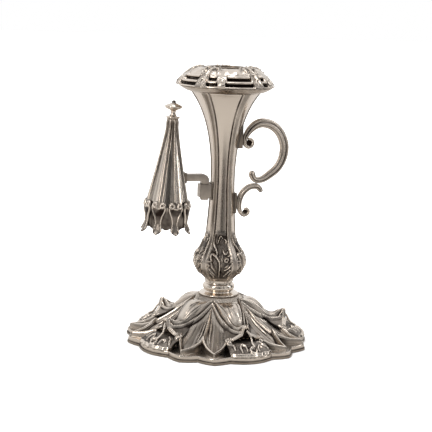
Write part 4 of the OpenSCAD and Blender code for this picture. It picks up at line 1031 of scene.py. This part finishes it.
top_r = stand + 0.4 + 0.75 * raised + 0.7 * pearl - 0.25 * np.abs(across) ** 3
strap_upper = polar(top_r, np.degrees(x_mm / stand), h)
strap_lower = polar(stand - 0.05, np.degrees(x_mm / stand), h)
heart = np.exp(-((h + 2.4) / 2.6) ** 2)
# The ground between the raised lines is darkened, more in the heart and near the hook's tip; the underside is painted
# dark, painted shade.
dark = (1 - on_strap) * (0.72 + 0.28 * heart + 0.2 * smooth((-h - 11) / 1.5)) * (1 - pearl)
straps = make_piece("strap_leaves", *sheet_mesh(strap_upper, strap_lower),
                    np.concatenate([dark, np.full(dark.shape, 0.8)]))
bake_nodes(face_out(straps), COPIES, {"Count": PANELS, "Start": math.radians(PANEL_DIR), "Finish": SILVER})
straps.data.transform(Matrix.Translation(Vector((CONE_X * MM, 0, LIP_Z * MM))) @ Matrix.Rotation(CONE_LEAN, 4, "Y"))
hand_over(straps, "snuffer", "silver", "snuffer_leaves")

# %% [markdown]
# ## Finial and collar of the snuffer
# The finial is turned: a thin disc on the cone's small end, a hollow neck, a
# sharp-edged button and a small dark tip.

# %% Finial and collar
disc_profile = [(0.9, CONE_H + 0.06), (2.9, CONE_H + 0.06), (3.4, CONE_H + 0.35)] \
    + arc(3.35, CONE_H + 0.8, 0.42, -70, 80, 8) + [(2.6, CONE_H + 1.35), (1.9, CONE_H + 1.66), (0.9, CONE_H + 1.66)]
K = CONE_H + 1.72
knob_profile = [(0, K), (1.9, K), (1.85, K + 0.3), (1.4, K + 0.9), (1.3, K + 1.7), (1.5, K + 2.4), (2.1, K + 2.9),
                (3.2, K + 3.3), (4.3, K + 4.0), (4.65, K + 4.5), (4.7, K + 4.8), (4.5, K + 5.1), (3.5, K + 5.7),
                (2.2, K + 6.2), (1.3, K + 6.5), (1.0, K + 6.8), (1.1, K + 7.2), (0.8, K + 7.8), (0, K + 8)]
for name, profile, node in (("finial_disc", disc_profile, "snuffer_collar"), ("finial", knob_profile, "snuffer_knob")):
    points, faces = lathe(profile, 64)
    tip_dark = np.where(points[:, 2] > K + 6.4, 0.8, 0.05)
    hand_over(face_out(make_piece(name, on_snuffer(points), faces, tip_dark)), "snuffer", "silver", node)

# %% [markdown]
# ## Filed edges
# The lugs, the socket, the hook and its pad are plain filed pieces. Their CAD
# meshes have the right shape but knife-sharp edges, so a merged copy gets its
# edges rounded, as a file and polishing leave them.

# %% A copy of a CAD piece with rounded edges
def cad_object(node):
    return next(o for o in bpy.data.objects if o.type == "MESH" and o.name.endswith(node))


def soften(node, name, body, slot, width, sharp=25):
    work = bmesh.new()
    work.from_mesh(cad_object(node).data)
    bmesh.ops.remove_doubles(work, verts=work.verts, dist=0.002 * MM)
    bmesh.ops.dissolve_limit(work, angle_limit=math.radians(1.5), verts=work.verts, edges=work.edges)
    edges = [e for e in work.edges if len(e.link_faces) == 2 and e.calc_face_angle(0) > math.radians(sharp)]
    rounded = bmesh.ops.bevel(work, geom=edges, offset=width * MM, segments=3, profile=0.6, affect="EDGES",
                              clamp_overlap=True)
    # Flat faces are painted darker and the rounded edges left bright: painted shade on the faces and a painted
    # highlight along the edges.
    dull = work.faces.layers.float.new("recess")
    edge_faces = set(rounded["faces"])
    for face in work.faces:
        face[dull] = 0.0 if face in edge_faces else 0.5
    bmesh.ops.recalc_face_normals(work, faces=work.faces)
    mesh = bpy.data.meshes.new(name)
    work.to_mesh(mesh)
    work.free()
    mesh.polygons.foreach_set("use_smooth", np.ones(len(mesh.polygons), bool))
    piece = bpy.data.objects.new(name, mesh)
    bpy.context.scene.collection.objects.link(piece)
    return hand_over(piece, body, slot, node)


FILED = [("handle_upper_lug", "upper_lug", "stick", "silver_worn", 0.35),
         ("handle_lower_lug", "lower_lug", "stick", "silver_worn", 0.3),
         ("bracket_backplate", "socket_backplate", "stick", "silver_worn", 0.15),
         ("bracket_socket", "hook_socket", "stick", "silver", 0.22),
         ("snuffer_hook", "hook_arm", "snuffer", "silver", 0.45),
         ("hook_pad", "arm_pad", "snuffer", "silver_worn", 0.2)]
for node, name, body, slot, width in FILED:
    soften(node, name, body, slot, width)

# %% [markdown]
# ## Pieces that stay as the CAD made them
# The fixing under the base, the liner and the finial's shank are plain turned
# pieces, so their CAD meshes stay, with a material for each slot.

# %% Materials on the CAD pieces
KEPT = ["tie_washer", "tie_nut", "tie_rod", "stem_plug", "socket_liner", "snuffer_shank"]
slot_of = {part["node"]: part["material_slot"] for part in frame["record"]["subparts"]}
for node in KEPT:
    piece = cad_object(node)
    if not piece.material_slots:
        piece.data.materials.append(None)
    for place in piece.material_slots:
        place.link = "OBJECT"
        place.material = SLOT_MATERIALS[slot_of[node]]
print("kept:", ", ".join(KEPT))

# %% [markdown]
# ## Floor and light
# Silver shows what stands round it. The floor and the far background are white
# to the camera, but the floor as the metal mirrors it is painted in dark and pale
# patches, a painted reflection of a dark room. The room is mostly dark with a few
# bright walls, and two strips of light draw the long highlights.

# %% Bright and dark parts of the room, by direction
def patches(tree, direction, middle, low, high):
    noise = add(tree, "ShaderNodeTexNoise", None, Vector=direction, Scale=4.6, Detail=2.0, Roughness=0.6)
    sharp = add(tree, "ShaderNodeMapRange", {"interpolation_type": "SMOOTHSTEP"}, Value=noise.outputs["Fac"],
                From_Min=middle - 0.07, From_Max=middle + 0.07, To_Min=low, To_Max=high)
    return sharp.outputs[0]


def level(tree, direction):
    flat = add(tree, "ShaderNodeVectorMath", {"operation": "MULTIPLY"}, i0=direction, i1=(1, 1, 0))
    return add(tree, "ShaderNodeVectorMath", {"operation": "NORMALIZE"}, i0=flat.outputs[0]).outputs[0]


def behind(tree, direction):
    """The white backdrop that stands behind the object."""
    back = add(tree, "ShaderNodeSeparateXYZ", None, Vector=level(tree, direction)).outputs["Y"]
    return add(tree, "ShaderNodeMapRange", {"interpolation_type": "SMOOTHSTEP"}, Value=back,
               From_Min=0.05, From_Max=0.5, To_Min=0.0, To_Max=1.0).outputs[0]


# %% Floor
bpy.ops.mesh.primitive_plane_add(size=12.0, location=(0, 0, -0.0002))
floor = bpy.context.object
floor.name = "floor"
paper = bpy.data.materials.new("white paper floor")
paper.use_nodes = True
tree = paper.node_tree
tree.nodes.clear()
place = add(tree, "ShaderNodeTexCoord").outputs["Object"]
away = add(tree, "ShaderNodeVectorMath", {"operation": "LENGTH"}, i0=place).outputs["Value"]
seen = add(tree, "ShaderNodeLightPath").outputs
outer = add(tree, "ShaderNodeMapRange", {"interpolation_type": "SMOOTHSTEP"}, Value=away,
            From_Min=0.14, From_Max=0.4, To_Min=0.0, To_Max=1.0)
# As the metal mirrors it, the floor is painted in dark and pale patches, and a darker grey near the object: a painted
# reflection of a dark room. The camera sees it white.
pale = add(tree, "ShaderNodeMath", {"operation": "MAXIMUM"}, i0=patches(tree, level(tree, place), 0.48, 0.0, 1.0),
           i1=behind(tree, place))
painted_room_reflection = add(tree, "ShaderNodeMix", {"data_type": "RGBA"}, i0=pale.outputs[0],
           i6=linear("#2E2B29"), i7=linear("#D8D4D0"))
mirrored = add(tree, "ShaderNodeMix", {"data_type": "RGBA"}, i0=outer.outputs[0], i6=linear("#BFBCB8"),
               i7=painted_room_reflection.outputs[2])
shown = add(tree, "ShaderNodeMix", {"data_type": "RGBA"}, i0=seen["Is Camera Ray"], i6=mirrored.outputs[2],
            i7=linear("#F4F4F4"))
matt = add(tree, "ShaderNodeBsdfDiffuse", None, Color=shown.outputs[2])
far = add(tree, "ShaderNodeMapRange", {"interpolation_type": "SMOOTHSTEP"}, Value=away,
          From_Min=0.05, From_Max=0.17, To_Min=0.15, To_Max=1.2)
lift = add(tree, "ShaderNodeMath", {"operation": "MULTIPLY"}, i0=seen["Is Camera Ray"], i1=far.outputs[0])
glow = add(tree, "ShaderNodeEmission", None, Color=linear("#FFFFFF"), Strength=lift.outputs[0])
both = add(tree, "ShaderNodeAddShader", None, i0=matt.outputs[0], i1=glow.outputs[0])
add(tree, "ShaderNodeOutputMaterial", None, Surface=both.outputs[0])
floor.data.materials.append(paper)

# %% Room light
world = bpy.data.worlds.new("studio")
bpy.context.scene.world = world
world.use_nodes = True
tree = world.node_tree
tree.nodes.clear()
way = add(tree, "ShaderNodeTexCoord").outputs["Generated"]
rise = add(tree, "ShaderNodeSeparateXYZ", None, Vector=way).outputs["Z"]
high_up = add(tree, "ShaderNodeMapRange", {"interpolation_type": "SMOOTHSTEP"}, Value=rise,
              From_Min=0.3, From_Max=0.8, To_Min=0.0, To_Max=1.0)
ceiling = add(tree, "ShaderNodeMath", {"operation": "MULTIPLY"}, i0=high_up.outputs[0],
              i1=patches(tree, way, 0.49, 0.12, 1.05))
walls = add(tree, "ShaderNodeMath", {"operation": "MAXIMUM"}, i0=behind(tree, way),
            i1=patches(tree, level(tree, way), 0.56, 0.05, 1.0))
room = add(tree, "ShaderNodeMath", {"operation": "MAXIMUM"}, i0=ceiling.outputs[0], i1=walls.outputs[0])
seen = add(tree, "ShaderNodeLightPath").outputs
strength = add(tree, "ShaderNodeMath", {"operation": "MAXIMUM"}, i0=room.outputs[0], i1=seen["Is Camera Ray"])
sky = add(tree, "ShaderNodeBackground", None, Color=linear("#FFFFFF"), Strength=strength.outputs[0])
add(tree, "ShaderNodeOutputWorld", None, Surface=sky.outputs[0])


# %% Lamps
def soft_box(name, place, width, tall, power, colour="#FFFFFF", reflected=True):
    lamp = bpy.data.lights.new(name, "AREA")
    lamp.shape, lamp.size, lamp.size_y, lamp.energy = "RECTANGLE", width, tall, power
    lamp.color = linear(colour)[:3]
    box = bpy.data.objects.new(name, lamp)
    bpy.context.scene.collection.objects.link(box)
    place = Vector(place)
    aim = (Vector((0, 0, 0.07)) - place).to_track_quat("-Z", "Y").to_matrix().to_4x4()
    box.matrix_world = Matrix.Translation(place) @ aim
    box.visible_glossy = reflected
    return box


soft_box("key strip", (-0.85, -0.55, 0.6), 0.2, 1.0, 3.4, "#FFF8F0")
soft_box("side strip", (0.85, -0.25, 0.45), 0.12, 0.9, 1.3)
soft_box("top box", (0.05, 0.1, 1.1), 0.35, 0.25, 1.2)
soft_box("floor light", (-0.5, -0.35, 1.3), 0.9, 0.9, 12.0, reflected=False)

# %% [markdown]
# ## Camera
# The photo was fitted with a camera model: about ten degrees down, a little to
# the snuffer's side, with a long lens, and turned two degrees about its axis.

# %% Camera
CAMERA_AT = Vector((-188.2, -569.7, 178.3)) * MM
LOOK = Vector((0.304, 0.935, -0.181)).normalized()
ROLL = math.radians(2.1)
right = LOOK.cross(Vector((0, 0, 1))).normalized()
up = right.cross(LOOK)
right, up = right * math.cos(ROLL) + up * math.sin(ROLL), up * math.cos(ROLL) - right * math.sin(ROLL)
lens = bpy.data.cameras.new("camera")
lens.lens, lens.sensor_width = 94.6, 36.0
camera = bpy.data.objects.new("camera", lens)
bpy.context.scene.collection.objects.link(camera)
turn = Matrix((right, up, -LOOK)).transposed().to_4x4()
camera.matrix_world = Matrix.Translation(CAMERA_AT) @ turn
bpy.context.scene.camera = camera
bpy.context.scene.view_settings.view_transform = "Standard"
